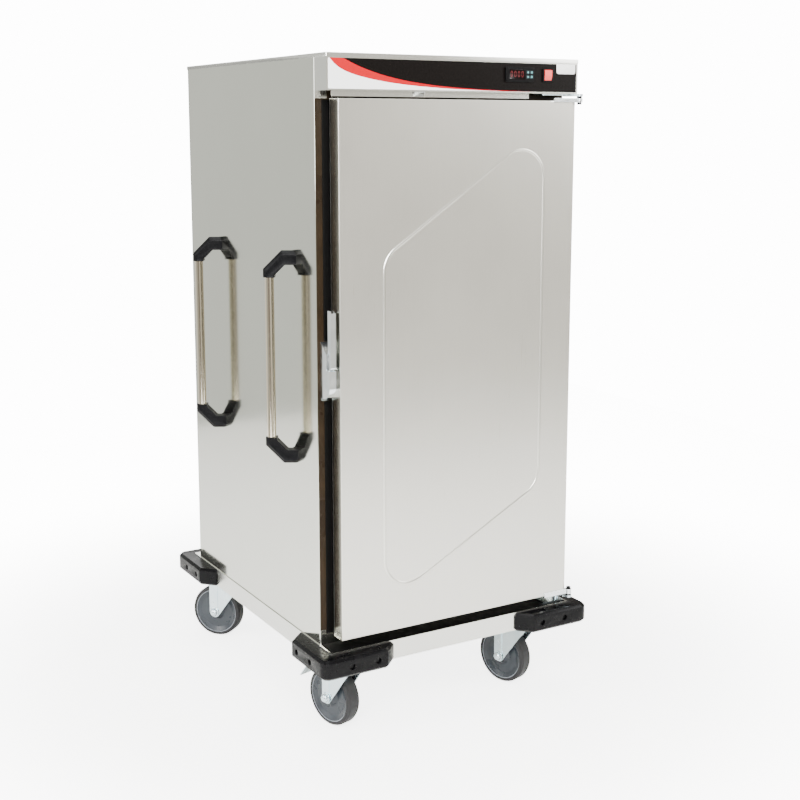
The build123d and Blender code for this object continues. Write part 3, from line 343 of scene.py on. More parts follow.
@dataclass(frozen=True)
class Glowing(Finish):
    """A lit lens or segment: its colour with a weak light of its own."""

    glow: str = "#FF2010"
    strength: float = 1.0
    cell_mm: float = 3.0
    dimmest: float = 0.8
    dim_at: float = 0.25
    full_at: float = 0.75

    def dress(self, tree: Tree, shader: Node, place: Socket) -> None:
        """The light is a little uneven, as behind a moulded lens.

        Args:
            tree: The material's node tree.
            shader: Its principled shader.
            place: Object coordinates, in metres.
        """
        cells = add_node(tree, "ShaderNodeTexNoise", {"Vector": place, "Scale": 1.0 / (self.cell_mm * MM)})
        tone = add_node(tree, "ShaderNodeValToRGB", {"Fac": cells.outputs["Fac"]})
        tone.color_ramp.elements[0].position = self.dim_at
        tone.color_ramp.elements[0].color = tuple(self.dimmest * c for c in linear(self.glow)[:3]) + (1.0,)
        tone.color_ramp.elements[1].position = self.full_at
        tone.color_ramp.elements[1].color = linear(self.glow)
        tree.links.new(tone.outputs["Color"], shader.inputs["Emission Color"])
        shader.inputs["Emission Strength"].default_value = self.strength


@dataclass(frozen=True)
class PrintedFilm(Finish):
    """Polyester film, printed from behind: white and red fields that die away along a black strip."""

    white: str = "#FAFAF9"
    red: str = "#AE0E1A"
    # Where the curves start, how far they rise and drop, in metres, and how fast they fade, per metre.
    left: float = spot("left_side_panel", 0, 0, 0).x
    foot: float = spot("control_overlay", 0, 0, 0).z
    fade: float = 6.6
    white_rise: float = 0.058
    white_drop: float = 0.002
    flick_rise: float = 0.030
    flick_fade: float = 50.0
    red_rise: float = 0.0998
    red_drop: float = 0.0018
    haze_mm: float = 1.2
    haze_spread: float = 0.1

    def dress(self, tree: Tree, shader: Node, place: Socket) -> None:
        """Two falling curves along the film part white from red and red from black.

        Args:
            tree: The material's node tree.
            shader: Its principled shader.
            place: Object coordinates, in metres.
        """
        axes = add_node(tree, "ShaderNodeSeparateXYZ", {"Vector": place}).outputs
        run = add_node(tree, "ShaderNodeMath", {0: axes["X"], 1: self.left}, operation="SUBTRACT").outputs[0]
        falls = []
        for rate in (self.fade, self.flick_fade):
            power = add_node(tree, "ShaderNodeMath", {0: run, 1: -rate}, operation="MULTIPLY").outputs[0]
            falls.append(add_node(tree, "ShaderNodeMath", {0: power}, operation="EXPONENT").outputs[0])
        sweep, flick = falls
        tail = add_node(tree, "ShaderNodeMath", {
            0: flick, 1: self.flick_rise, 2: self.foot - self.white_drop,
        }, operation="MULTIPLY_ADD").outputs[0]
        white_edge = add_node(tree, "ShaderNodeMath", {
            0: sweep, 1: self.white_rise, 2: tail,
        }, operation="MULTIPLY_ADD").outputs[0]
        red_edge = add_node(tree, "ShaderNodeMath", {
            0: sweep, 1: self.red_rise, 2: self.foot - self.red_drop,
        }, operation="MULTIPLY_ADD").outputs[0]
        printed = linear(self.colour)
        for edge, ink in ((red_edge, self.red), (white_edge, self.white)):
            under = add_node(tree, "ShaderNodeMath", {
                0: axes["Z"], 1: edge,
            }, operation="LESS_THAN").outputs[0]
            printed = add_node(tree, "ShaderNodeMix", {
                "Factor": under, "A": printed, "B": linear(ink),
            }, data_type="RGBA").outputs["Result"]
        tree.links.new(printed, shader.inputs["Base Color"])
        haze = add_node(tree, "ShaderNodeTexNoise", {"Vector": place, "Scale": 1.0 / (self.haze_mm * MM)})
        gloss = add_node(tree, "ShaderNodeMapRange", {
            "Value": haze.outputs["Fac"],
            "To Min": self.roughness - self.haze_spread / 2,
            "To Max": self.roughness + self.haze_spread / 2,
        })
        tree.links.new(gloss.outputs["Result"], shader.inputs["Roughness"])


@dataclass(frozen=True)
class PaleFloor(Finish):
    """Painted studio floor: pale and matt round the cart, washed out to white further off."""

    # Where the wash starts and is full, in metres from the cart, and its strength there.
    near: float = 0.7
    far: float = 2.2
    wash: float = 12.0
    base_wash: float = 4.0

    def dress(self, tree: Tree, shader: Node, place: Socket) -> None:
        """The light of the wash grows with the distance from the cart.

        Args:
            tree: The material's node tree.
            shader: Its principled shader.
            place: Object coordinates, in metres.
        """
        reach = add_node(tree, "ShaderNodeVectorMath", {0: place}, operation="LENGTH").outputs["Value"]
        grow = add_node(tree, "ShaderNodeMapRange", {
            "Value": reach,
            "From Min": self.near,
            "From Max": self.far,
            "To Min": self.base_wash,
            "To Max": self.wash,
        }, interpolation_type="SMOOTHSTEP").outputs["Result"]
        seen = add_node(tree, "ShaderNodeLightPath").outputs["Is Camera Ray"]
        glow = add_node(tree, "ShaderNodeMath", {0: grow, 1: seen}, operation="MULTIPLY").outputs[0]
        tree.links.new(glow, shader.inputs["Emission Strength"])
        shader.inputs["Emission Color"].default_value = linear("#FFFFFF")


class Shade(Enum):
    """Every finish on the cart, each under a comment on what it gives the eye."""

    # Stainless sheet, bright brushed: mirrors the room, only a little blurred along the grain.
    SHEET = BrushedSteel("stainless_sheet_bright", "#DADBD2", 0.11, streak_depth=0.05, cloud_depth=0.05,
                         bump=0.02)
    # Stainless sheet, brushed crosswise: paler and duller than the sides.
    SHEET_ACROSS = BrushedSteel("stainless_sheet_cross_brush", "#E8E8E2", 0.22, grain=Grain.ACROSS,
                                bump=0.03)
    # Stainless door sheet, finely brushed: a soft white sheen without clear mirror images; its edge folds
    # are painted darker, as painted shade.
    DOOR = FoldedDoorSteel("stainless_door_brush_and_fold_shade", "#E8E6DE", 0.30, streak_depth=0.05, cloud_depth=0.06,
                           bump=0.03)
    # Stainless liner, satin rolled: grey and even.
    INNER = BrushedSteel("stainless_liner_satin", "#C4C5C0", 0.34, grain=Grain.ALONG)
    # Stainless tube, polished: long bright and dark lines, a little warm.
    TUBE = BrushedSteel("stainless_tube_polished", "#F0E6D2", 0.10, cloud_depth=0.04, streak_depth=0.04,
                        bump=0.01)
    # Steel pressings, zinc plated: bluish white with a faint bloom.
    ZINC = Mottled("zinc_plated_steel", "#E6F1F5", 0.24, metallic=1.0, second="#D2E3EA", patch_mm=26.0,
                   grain_mm=1.5, bump=0.02)
    # Zinc alloy, die cast and plated: bright and smooth, with soft highlights.
    CAST = Mottled("die_cast_latch_metal", "#F2F6F8", 0.19, metallic=1.0, second="#E6ECF0", patch_mm=30.0,
                   grain_mm=1.2, bump=0.02)
    # Plastic bumper, injection moulded: black, with broad weak highlights.
    BUMPER = Mottled("bumper_moulded_plastic", "#060607", 0.28, second="#040405", patch_mm=35.0,
                     grain_mm=1.4, bump=0.02, specular=0.13)
    # Nylon elbow, injection moulded: black satin.
    HANDLE = Mottled("handle_moulded_nylon", "#060608", 0.36, second="#040405", patch_mm=18.0, grain_mm=1.2,
                     bump=0.02, specular=0.10)
    # Switch housing, injection moulded: black, with a fine texture.
    SWITCH = Mottled("switch_moulded_black", "#060607", 0.34, second="#040404", patch_mm=10.0, grain_mm=0.6,
                     bump=0.04, specular=0.12)
    # Polyester film, printed from behind: smooth black with a white and a red field.
    FILM = PrintedFilm("printed_film", "#0B0807", 0.28, specular=0.11)
    # Polyester film, plain white: even, with a slight gloss.
    BADGE = Mottled("badge_white_film", "#FAFAF8", 0.35, second="#F5F5F3", patch_mm=40.0, grain_mm=0.7,
                    bump=0.02)
    # Dark brown satin frame round the door opening: painted shade for the shaded gap beside the door and its
    # dark reflections.
    PAINTED_SHADE_FRAME = Mottled("door_frame_painted_shade", "#2C2216", 0.30, second="#1E1710", patch_mm=90.0,
                      grain_mm=1.0, bump=0.03, specular=0.14)
    # Screws deep in the bumpers, and the seal over the ball race: nearly black, with small glints.
    BOLT = Mottled("near_black_screw", "#0C0C0D", 0.35, metallic=0.6, second="#070707", patch_mm=4.0,
                   grain_mm=0.8, bump=0.05)
    # Ring at the edge of the rim: a thin pale grey line.
    RIM_LINE = Mottled("wheel_rim_edge", "#8E9399", 0.35, second="#7E838A", patch_mm=20.0, grain_mm=1.0,
                       bump=0.03)
    # Nylon bush, moulded: blue grey and even.
    HUB = Mottled("wheel_hub_nylon", "#7E8894", 0.35, second="#6E7884", patch_mm=12.0, grain_mm=1.0,
                  bump=0.04)
    # Acrylic window, smoked: nearly black with a trace of red.
    LENS = Mottled("display_lens_smoked", "#0C0304", 0.15, second="#080203", patch_mm=30.0, grain_mm=2.0,
                   bump=0.0, specular=0.15)
    # Light segments behind the window: dull red, weakly lit.
    DIGITS = Glowing("display_segments_red", "#580A10", 0.4, glow="#D0101A", strength=0.16)
    # Lamp bar behind the window: grey, hardly lit.
    LAMP = Glowing("display_lamp_grey", "#6E6E6C", 0.4, glow="#8A8A88", strength=0.03)
    # Silicone rubber key, moulded: dark teal and matt.
    KEY = Mottled("key_cap_rubber", "#0C2A30", 0.45, second="#08191D", patch_mm=5.0, grain_mm=0.5, bump=0.1)
    # Mark in the key: pale teal, lit.
    KEY_MARK = Glowing("key_mark_teal", "#6FC6C8", 0.4, glow="#58C4C8", strength=0.5)
    # Rocker of clear red plastic with a lamp inside: soft, even red.
    ROCKER = Glowing("rocker_lit_red", "#DB5650", 0.25, glow="#FF4A44", strength=0.22)
    # Rubber seal, extruded: black and matt; the same black laid on the ledge under the door is painted
    # shade.
    GASKET_AND_LEDGE_SHADE = Mottled("gasket_rubber_and_ledge_shade", "#050504", 0.6, second="#030303", patch_mm=20.0, grain_mm=1.0,
                     bump=0.2, specular=0.08)
    # Mineral wool, pressed: yellow brown and rough.
    WOOL = Mottled("mineral_wool", "#B7A66E", 0.9, second="#8C7D4E", patch_mm=8.0, grain_mm=2.0, bump=0.8,
                   depth_mm=1.0)
    # Polypropylene wheel core, moulded: dark blue grey satin.
    CORE = Mottled("wheel_core_polypropylene", "#2A2F35", 0.30, second="#23282D", patch_mm=40.0,
                   grain_mm=1.0, bump=0.04)
    # Rubber tread, moulded: dark grey and dull.
    TYRE = Mottled("wheel_tread_grey_rubber", "#1F1F21", 0.48, second="#19191A", patch_mm=22.0, grain_mm=0.8,
                   bump=0.15, specular=0.35)
    # Motor housing, enamelled: dark grey satin.
    MOTOR = Mottled("motor_enamel", "#2E2F31", 0.4, second="#242527", patch_mm=20.0, grain_mm=1.0, bump=0.15)
    # Heater sheath, oxidised by its heat: brown metal in patches.
    HEATER = Mottled("heater_sheath_oxidised", "#6A5E52", 0.45, metallic=1.0, second="#4A423C", patch_mm=9.0,
                     grain_mm=1.0, bump=0.1)
    # Studio floor, painted: pale and matt.
    FLOOR = PaleFloor("studio_floor_pale", "#F4F4F2", 0.75)


class Palette:
    """Makes each finish once and hands it out."""

    def __init__(self) -> None:
        """Start with no material made."""
        self._made: dict[Shade, Material] = {}

    def get(self, shade: Shade) -> Material:
        """Return the material of a finish, made on first use.

        Args:
            shade: The finish.

        Returns:
            Its material.
        """
        if shade not in self._made:
            self._made[shade] = shade.value.make()
        return self._made[shade]

    def paint(self, piece: Object, shade: Shade) -> None:
        """Give a whole piece one finish."""
        piece.data.materials.clear()
        piece.data.materials.append(self.get(shade))


palette = Palette()


def joint(name: str) -> dict:
    """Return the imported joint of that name."""
    return next(entry for entry in frame["joints"] if entry["name"] == name)


def lay(at: Vector, along: Sequence[float]) -> Matrix:
    """Make the matrix that puts a piece at a point.

    Args:
        at: Where the piece's origin goes, in metres.
        along: Direction that its own +Z is laid along.

    Returns:
        The matrix.
    """
    return Matrix.Translation(at) @ Vector(along).to_track_quat("Z", "Y").to_matrix().to_4x4()


class Way(Enum):
    """Direction that a piece faces."""

    FRONT = (0.0, -1.0, 0.0)
    REAR = (0.0, 1.0, 0.0)
    DOWN = (0.0, 0.0, -1.0)


class Pick(Enum):
    """What is selected of a mesh in edit mode."""

    EDGE = "EDGE"
    FACE = "FACE"


class Bench:
    """The modelling steps that the sub-assemblies share."""

    # Distances under which points are merged, in metres.
    spin_merge: float = 0.000002
    node_merge: float = 0.00001
    flat_deg: float = 0.5

    @staticmethod
    def alone(piece: Object) -> None:
        """Make one piece the only selected object.

        Args:
            piece: The piece.
        """
        bpy.ops.object.select_all(action="DESELECT")
        piece.select_set(True)
        bpy.context.view_layer.objects.active = piece

    @staticmethod
    def settle(name: str) -> Object:
        """Name the primitive just added and take its place into its mesh.

        Args:
            name: Name of the piece.

        Returns:
            The piece.
        """
        piece = bpy.context.active_object
        piece.name = name
        piece.data.name = name
        bpy.ops.object.transform_apply(location=True, rotation=True, scale=True)
        return piece

    @classmethod
    def block(cls, name: str, low: Sequence[float], high: Sequence[float]) -> Object:
        """Start a piece from a cube between two corners.

        Args:
            name: Name of the piece.
            low: Its low corner, in metres.
            high: Its high corner.

        Returns:
            The new object.
        """
        bpy.ops.object.select_all(action="DESELECT")
        middle = [(a + b) / 2 for a, b in zip(low, high)]
        bpy.ops.mesh.primitive_cube_add(size=1.0, location=middle, scale=[b - a for a, b in zip(low, high)])
        return cls.settle(name)

    @classmethod
    @contextmanager
    def editing(cls, piece: Object, kind: Pick = Pick.FACE) -> Iterator[None]:
        """Open a piece in edit mode with nothing selected, and close it again.

        Args:
            piece: The piece.
            kind: What is selected in it.

        Returns:
            A context that is open as long as the piece is in edit mode.
        """
        cls.alone(piece)
        bpy.ops.object.mode_set(mode="EDIT")
        bpy.ops.mesh.select_mode(type=kind.value)
        bpy.ops.mesh.select_all(action="DESELECT")
        yield
        bpy.ops.object.mode_set(mode="OBJECT")

    @staticmethod
    def pick_faces(piece: Object, test: Callable[[bmesh.types.BMFace], bool]) -> Vector:
        """Select the faces that pass a test.

        Args:
            piece: The piece, in edit mode.
            test: Says whether a face is wanted.

        Returns:
            The middle of the faces.
        """
        bpy.ops.mesh.select_all(action="DESELECT")
        mesh = bmesh.from_edit_mesh(piece.data)
        wanted = [face for face in mesh.faces if test(face)]
        for face in wanted:
            face.select_set(True)
        bmesh.update_edit_mesh(piece.data)
        return sum((face.calc_center_median() for face in wanted), Vector()) / max(1, len(wanted))

    @staticmethod
    def pick_edges(piece: Object, test: Callable[[Vector, Vector], bool]) -> None:
        """Select the edges that pass a test.

        Args:
            piece: The piece, in edit mode.
            test: Gets an edge's middle and its direction.
        """
        bpy.ops.mesh.select_all(action="DESELECT")
        mesh = bmesh.from_edit_mesh(piece.data)
        for edge in mesh.edges:
            start, end = (vertex.co for vertex in edge.verts)
            if test((start + end) / 2, (end - start).normalized()):
                edge.select_set(True)
        bmesh.update_edit_mesh(piece.data)

    @classmethod
    def turned(cls, name: str, profile: Profile, sides: int) -> Object:
        """Turn a piece about its own +Z, from a cylinder whose top is extruded and scaled ring by ring.

        Args:
            name: Name of the piece.
            profile: Height and radius of each ring, in millimetres; a falling height cuts a recess.
            sides: Sides of the rings.

        Returns:
            The new object, at the origin.
        """
        (low, first), (height, radius) = profile[:2]
        bpy.ops.object.select_all(action="DESELECT")
        bpy.ops.mesh.primitive_cylinder_add(vertices=sides, radius=first * MM, depth=(height - low) * MM,
                                            location=(0.0, 0.0, (low + height) / 2 * MM))
        piece = cls.settle(name)
        with cls.editing(piece):
            cls.pick_faces(piece, lambda face: face.normal.z > FACING)
            grow = radius / first
            bpy.ops.transform.resize(value=(grow, grow, 1.0), center_override=(0.0, 0.0, 0.0))
            for next_height, next_radius in profile[2:]:
                bpy.ops.mesh.extrude_region_move(
                    TRANSFORM_OT_translate={"value": (0.0, 0.0, (next_height - height) * MM)})
                grow = next_radius / radius
                bpy.ops.transform.resize(value=(grow, grow, 1.0), center_override=(0.0, 0.0, 0.0))
                height, radius = next_height, next_radius
            bpy.ops.mesh.select_all(action="SELECT")
            bpy.ops.mesh.normals_make_consistent(inside=False)
        return piece

    @classmethod
    def ring(cls, name: str, inner: float, outer: float, low: float, high: float, sides: int = 48) -> Object:
        """Spin a flat section about +Z into a ring.

        Args:
            name: Name of the piece.
            inner: Its inner radius, in millimetres.
            outer: Its outer radius.
            low: Its lower face.
            high: Its upper face.
            sides: Steps of the spin.

        Returns:
            The new object, at the origin.
        """
        bpy.ops.object.select_all(action="DESELECT")
        middle = ((inner + outer) / 2 * MM, 0.0, (low + high) / 2 * MM)
        bpy.ops.mesh.primitive_plane_add(size=1.0, location=middle, rotation=(math.pi / 2, 0.0, 0.0))
        piece = cls.settle(name)
        with cls.editing(piece):
            bpy.ops.mesh.select_all(action="SELECT")
            size = ((outer - inner) * MM, 1.0, (high - low) * MM)
            bpy.ops.transform.resize(value=size, center_override=middle)
            bpy.ops.mesh.spin(steps=sides, angle=2 * math.pi, center=(0.0, 0.0, 0.0), axis=(0.0, 0.0, 1.0))
            bpy.ops.mesh.select_all(action="SELECT")
            bpy.ops.mesh.remove_doubles(threshold=cls.spin_merge)
            bpy.ops.mesh.delete_loose()
            bpy.ops.mesh.select_all(action="SELECT")
            bpy.ops.mesh.normals_make_consistent(inside=False)
        return piece

    @classmethod
    def from_node(cls, node: str, name: str) -> Object:
        """Start a piece from a merged copy of a CAD node, with its flat faces whole again.

        Args:
            node: The node.
            name: Name of the piece.

        Returns:
            The new object.
        """
        piece = bpy.data.objects.new(name, frame["nodes"][node].data.copy())
        piece.data.name = name
        bpy.context.scene.collection.objects.link(piece)
        with cls.editing(piece):
            bpy.ops.mesh.select_all(action="SELECT")
            bpy.ops.mesh.remove_doubles(threshold=cls.node_merge)
            bpy.ops.mesh.dissolve_limited(angle_limit=math.radians(cls.flat_deg))
        return piece

    @classmethod
    def place(cls, piece: Object, matrix: Matrix) -> Object:
        """Put a piece where a matrix says, with its place in its mesh.

        Args:
            piece: The piece.
            matrix: Where it goes.

        Returns:
            The piece.
        """
        cls.alone(piece)
        piece.matrix_world = matrix
        bpy.ops.object.transform_apply(location=True, rotation=True, scale=True)
        return piece

    @classmethod
    def repeat(cls, piece: Object, matrices: Sequence[Matrix]) -> Object:
        """Copy a piece to every place and join the copies into it.

        Args:
            piece: The piece, at the origin.
            matrices: Where the copies go; the piece itself takes the first.

        Returns:
            The joined piece.
        """
        twins = []
        for number, matrix in enumerate(matrices[1:]):
            twin = piece.copy()
            twin.data = piece.data.copy()
            twin.name = f"{piece.name}_{number}"
            bpy.context.scene.collection.objects.link(twin)
            twins.append(cls.place(twin, matrix))
        cls.place(piece, matrices[0])
        return cls.joined(piece, twins)

    @classmethod
    def joined(cls, piece: Object, others: Sequence[Object]) -> Object:
        """Join other pieces into one piece.

        Args:
            piece: The piece that stays.
            others: The pieces that go into it.

        Returns:
            The joined piece.
        """
        cls.alone(piece)
        for other in others:
            other.select_set(True)
        if others:
            bpy.ops.object.join()
        return piece

    @classmethod
    def finish(cls, piece: Object, shade: Shade, body: str, slot: str, edge: float = 0.0, steps: int = 2,
               angle: float = 35.0) -> Object:
        """Soften a piece's edges, shade it, paint it and fix it to its body.

        Args:
            piece: The piece, in place.
            shade: Its finish.
            body: CAD body that it rides on.
            slot: Material slot of the record; not used.
            edge: Width of the softened edges, in millimetres; none at 0.
            steps: Segments across a softened edge.
            angle: Least angle between two faces, in degrees, whose edge counts as sharp.

        Returns:
            The piece.
        """
        cls.alone(piece)
        if edge:
            soft = piece.modifiers.new("soft_edge", "BEVEL")
            soft.width = edge * MM
            soft.segments = steps
            soft.limit_method = "ANGLE"
            soft.angle_limit = math.radians(angle)
            bpy.ops.object.modifier_apply(modifier=soft.name)
        bpy.ops.object.shade_smooth_by_angle(angle=math.radians(angle))
        palette.paint(piece, shade)
        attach(piece, body)
        log.info("piece %s rides %s", piece.name, body)
        return piece


@dataclass
class ControlPanel:
    """Badge, display and key marks of the panel over the door.

    An extent holds low and high X from the cabinet's left side, then low and high Z from its foot.
    """

    # Read from the frame, in metres.
    left: float = spot("left_side_panel", 0, 0, 0).x
    foot: float = spot("base_pan", 0, 0, 1).z
    film_front: float = spot("control_overlay", 0, 0, 0).y
    bezel_front: float = spot("controller", 0, 0, 0).y
    badge: Extent = (678.0, 739.0, 1462.0, 1487.0)
    badge_corner: float = 6.0
    badge_thickness: float = 0.4
    window: Extent = (523.3, 572.7, 1445.3, 1470.7)
    lens_front: float = 0.3
    lens_back: float = 1.0
    lens_rim: float = 1.2
    lens_step: float = 0.25
    digits: tuple[str, ...] = ("abcdef", "abcdef", "abcdef", "abcdef")
    digit_pitch: float = 11.3
    digit_width: float = 6.4
    digit_height: float = 15.0
    digit_depth: float = 0.5
    digit_rise: float = 0.8
    bar: float = 1.5
    half_depth: float = 0.1
    tip_share: float = 0.45
    tip_height: float = 0.15
    lamp_in: float = 3.0
    lamp_rise: float = 2.2
    lamp_size: Point = (3.2, 0.3, 1.4)
    arrow: Profile = ((-0.2, 2.6), (0.08, 2.6), (0.14, 2.3))
    ring: Extent = (1.5, 2.3, -0.2, 0.14)
    stroke_low: Point = (-0.35, -0.14, 0.4)
    stroke_high: Point = (0.35, 0.2, 2.9)

    def build(self) -> None:
        """Make every piece of the panel."""
        self.make_badge()
        self.make_lens()
        self.make_digits()
        self.make_key_marks()

    def at(self, x: float, y: float, z: float) -> Vector:
        """Place a point by millimetres from the left side and the foot; y is already in metres."""
        return Vector((self.left + x * MM, y, self.foot + z * MM))

    def make_badge(self) -> None:
        """Blank white badge at the film's upper right, its lower corners rounded."""
        x0, x1, z0, z1 = self.badge
        front = self.film_front - self.badge_thickness * MM
        plate = Bench.block("badge_plate", self.at(x0, front, z0), self.at(x1, self.film_front, z1))
        foot = self.at(0, 0, z0).z
        with Bench.editing(plate, Pick.EDGE):
            Bench.pick_edges(plate, lambda middle, way: abs(way.y) > FACING and abs(middle.z - foot) < MM)
            bpy.ops.mesh.bevel(offset=self.badge_corner * MM, segments=6, affect="EDGES")
        Bench.finish(plate, Shade.BADGE, "cabinet", "overlay_film", edge=0.12)

    def make_lens(self) -> None:
        """Smoked lens in the controller's window, with a stepped rim."""
        x0, x1, z0, z1 = self.window
        lens = Bench.block("display_lens", self.at(x0, self.bezel_front + self.lens_front * MM, z0),
                           self.at(x1, self.bezel_front + self.lens_back * MM, z1))
        with Bench.editing(lens):
            Bench.pick_faces(lens, lambda face: face.normal.y < -FACING)
            bpy.ops.mesh.inset(thickness=self.lens_rim * MM, depth=-self.lens_step * MM)
        Bench.finish(lens, Shade.LENS, "cabinet", "switch_moulding", edge=0.08)

    def make_segment(self) -> Object:
        """Model one bar of a digit, lying along X with pointed ends.

        Returns:
            The bar, at the origin.
        """
        half = self.digit_width / 2 - self.bar
        segment = Bench.block("display_digits", Vector((-half, -self.half_depth, -self.bar / 2)) * MM,
                              Vector((half, self.half_depth, self.bar / 2)) * MM)
        for side in (-1.0, 1.0):
            with Bench.editing(segment):
                tip = Bench.pick_faces(segment, lambda face: face.normal.x * side > FACING)
                step = side * self.bar * self.tip_share * MM
                bpy.ops.mesh.extrude_region_move(TRANSFORM_OT_translate={"value": (step, 0.0, 0.0)})
                bpy.ops.transform.resize(value=(1.0, 1.0, self.tip_height),
                                         center_override=(tip.x + step, tip.y, tip.z))
        return segment

    def make_digits(self) -> None:
        """Four digits of lit bars, all of them noughts, and the small grey lamp under the first."""
        x0, x1, z0, z1 = self.window
        front = self.bezel_front + self.digit_depth * MM
        middle = self.at((x0 + x1) / 2, front, (z0 + z1) / 2 + self.digit_rise)
        half_width = self.digit_width / 2 - self.bar / 2
        half_height = self.digit_height / 2 - self.bar / 2
        upright = Matrix.Rotation(math.pi / 2, 4, "Y")
        bars = {
            "a": Matrix.Translation((0, 0, half_height * MM)),
            "d": Matrix.Translation((0, 0, -half_height * MM)),
            "b": Matrix.Translation((half_width * MM, 0, half_height / 2 * MM)) @ upright,
            "c": Matrix.Translation((half_width * MM, 0, -half_height / 2 * MM)) @ upright,
            "e": Matrix.Translation((-half_width * MM, 0, -half_height / 2 * MM)) @ upright,
            "f": Matrix.Translation((-half_width * MM, 0, half_height / 2 * MM)) @ upright,
        }
        places = []
        for number, lit in enumerate(self.digits):
            shift = (number - (len(self.digits) - 1) / 2) * self.digit_pitch * MM
            places += [Matrix.Translation(middle + Vector((shift, 0, 0))) @ bars[letter] for letter in lit]
        digits = Bench.repeat(self.make_segment(), places)
        Bench.finish(digits, Shade.DIGITS, "cabinet", "switch_moulding")
        low = self.at(x0 + self.lamp_in, front - self.half_depth * MM, z0 + self.lamp_rise)
        lamp = Bench.block("display_lamp", low, low + Vector(self.lamp_size) * MM)
        Bench.finish(lamp, Shade.LAMP, "cabinet", "switch_moulding", edge=0.3)

    def make_key_marks(self) -> None:
        """A moulded mark on each key: two arrows, a ring and a bar in a ring."""
        for key in ("key_up", "key_down", "key_set", "key_power"):
            face = spot(key, 0.5, 0.0, 0.5)
            if key in ("key_up", "key_down"):
                mark = Bench.turned(f"{key}_mark", self.arrow, sides=3)
                turn = math.pi / 2 if key == "key_up" else -math.pi / 2
                Bench.place(mark, lay(face, Way.FRONT.value) @ Matrix.Rotation(turn, 4, "Z"))
            else:
                mark = Bench.ring(f"{key}_mark", *self.ring, sides=24)
                Bench.place(mark, lay(face, Way.FRONT.value))
            if key == "key_power":
                stroke = Bench.block("key_power_bar", face + Vector(self.stroke_low) * MM,
                                     face + Vector(self.stroke_high) * MM)
                Bench.joined(mark, [stroke])
            Bench.finish(mark, Shade.KEY_MARK, key, "key_rubber", edge=0.05)


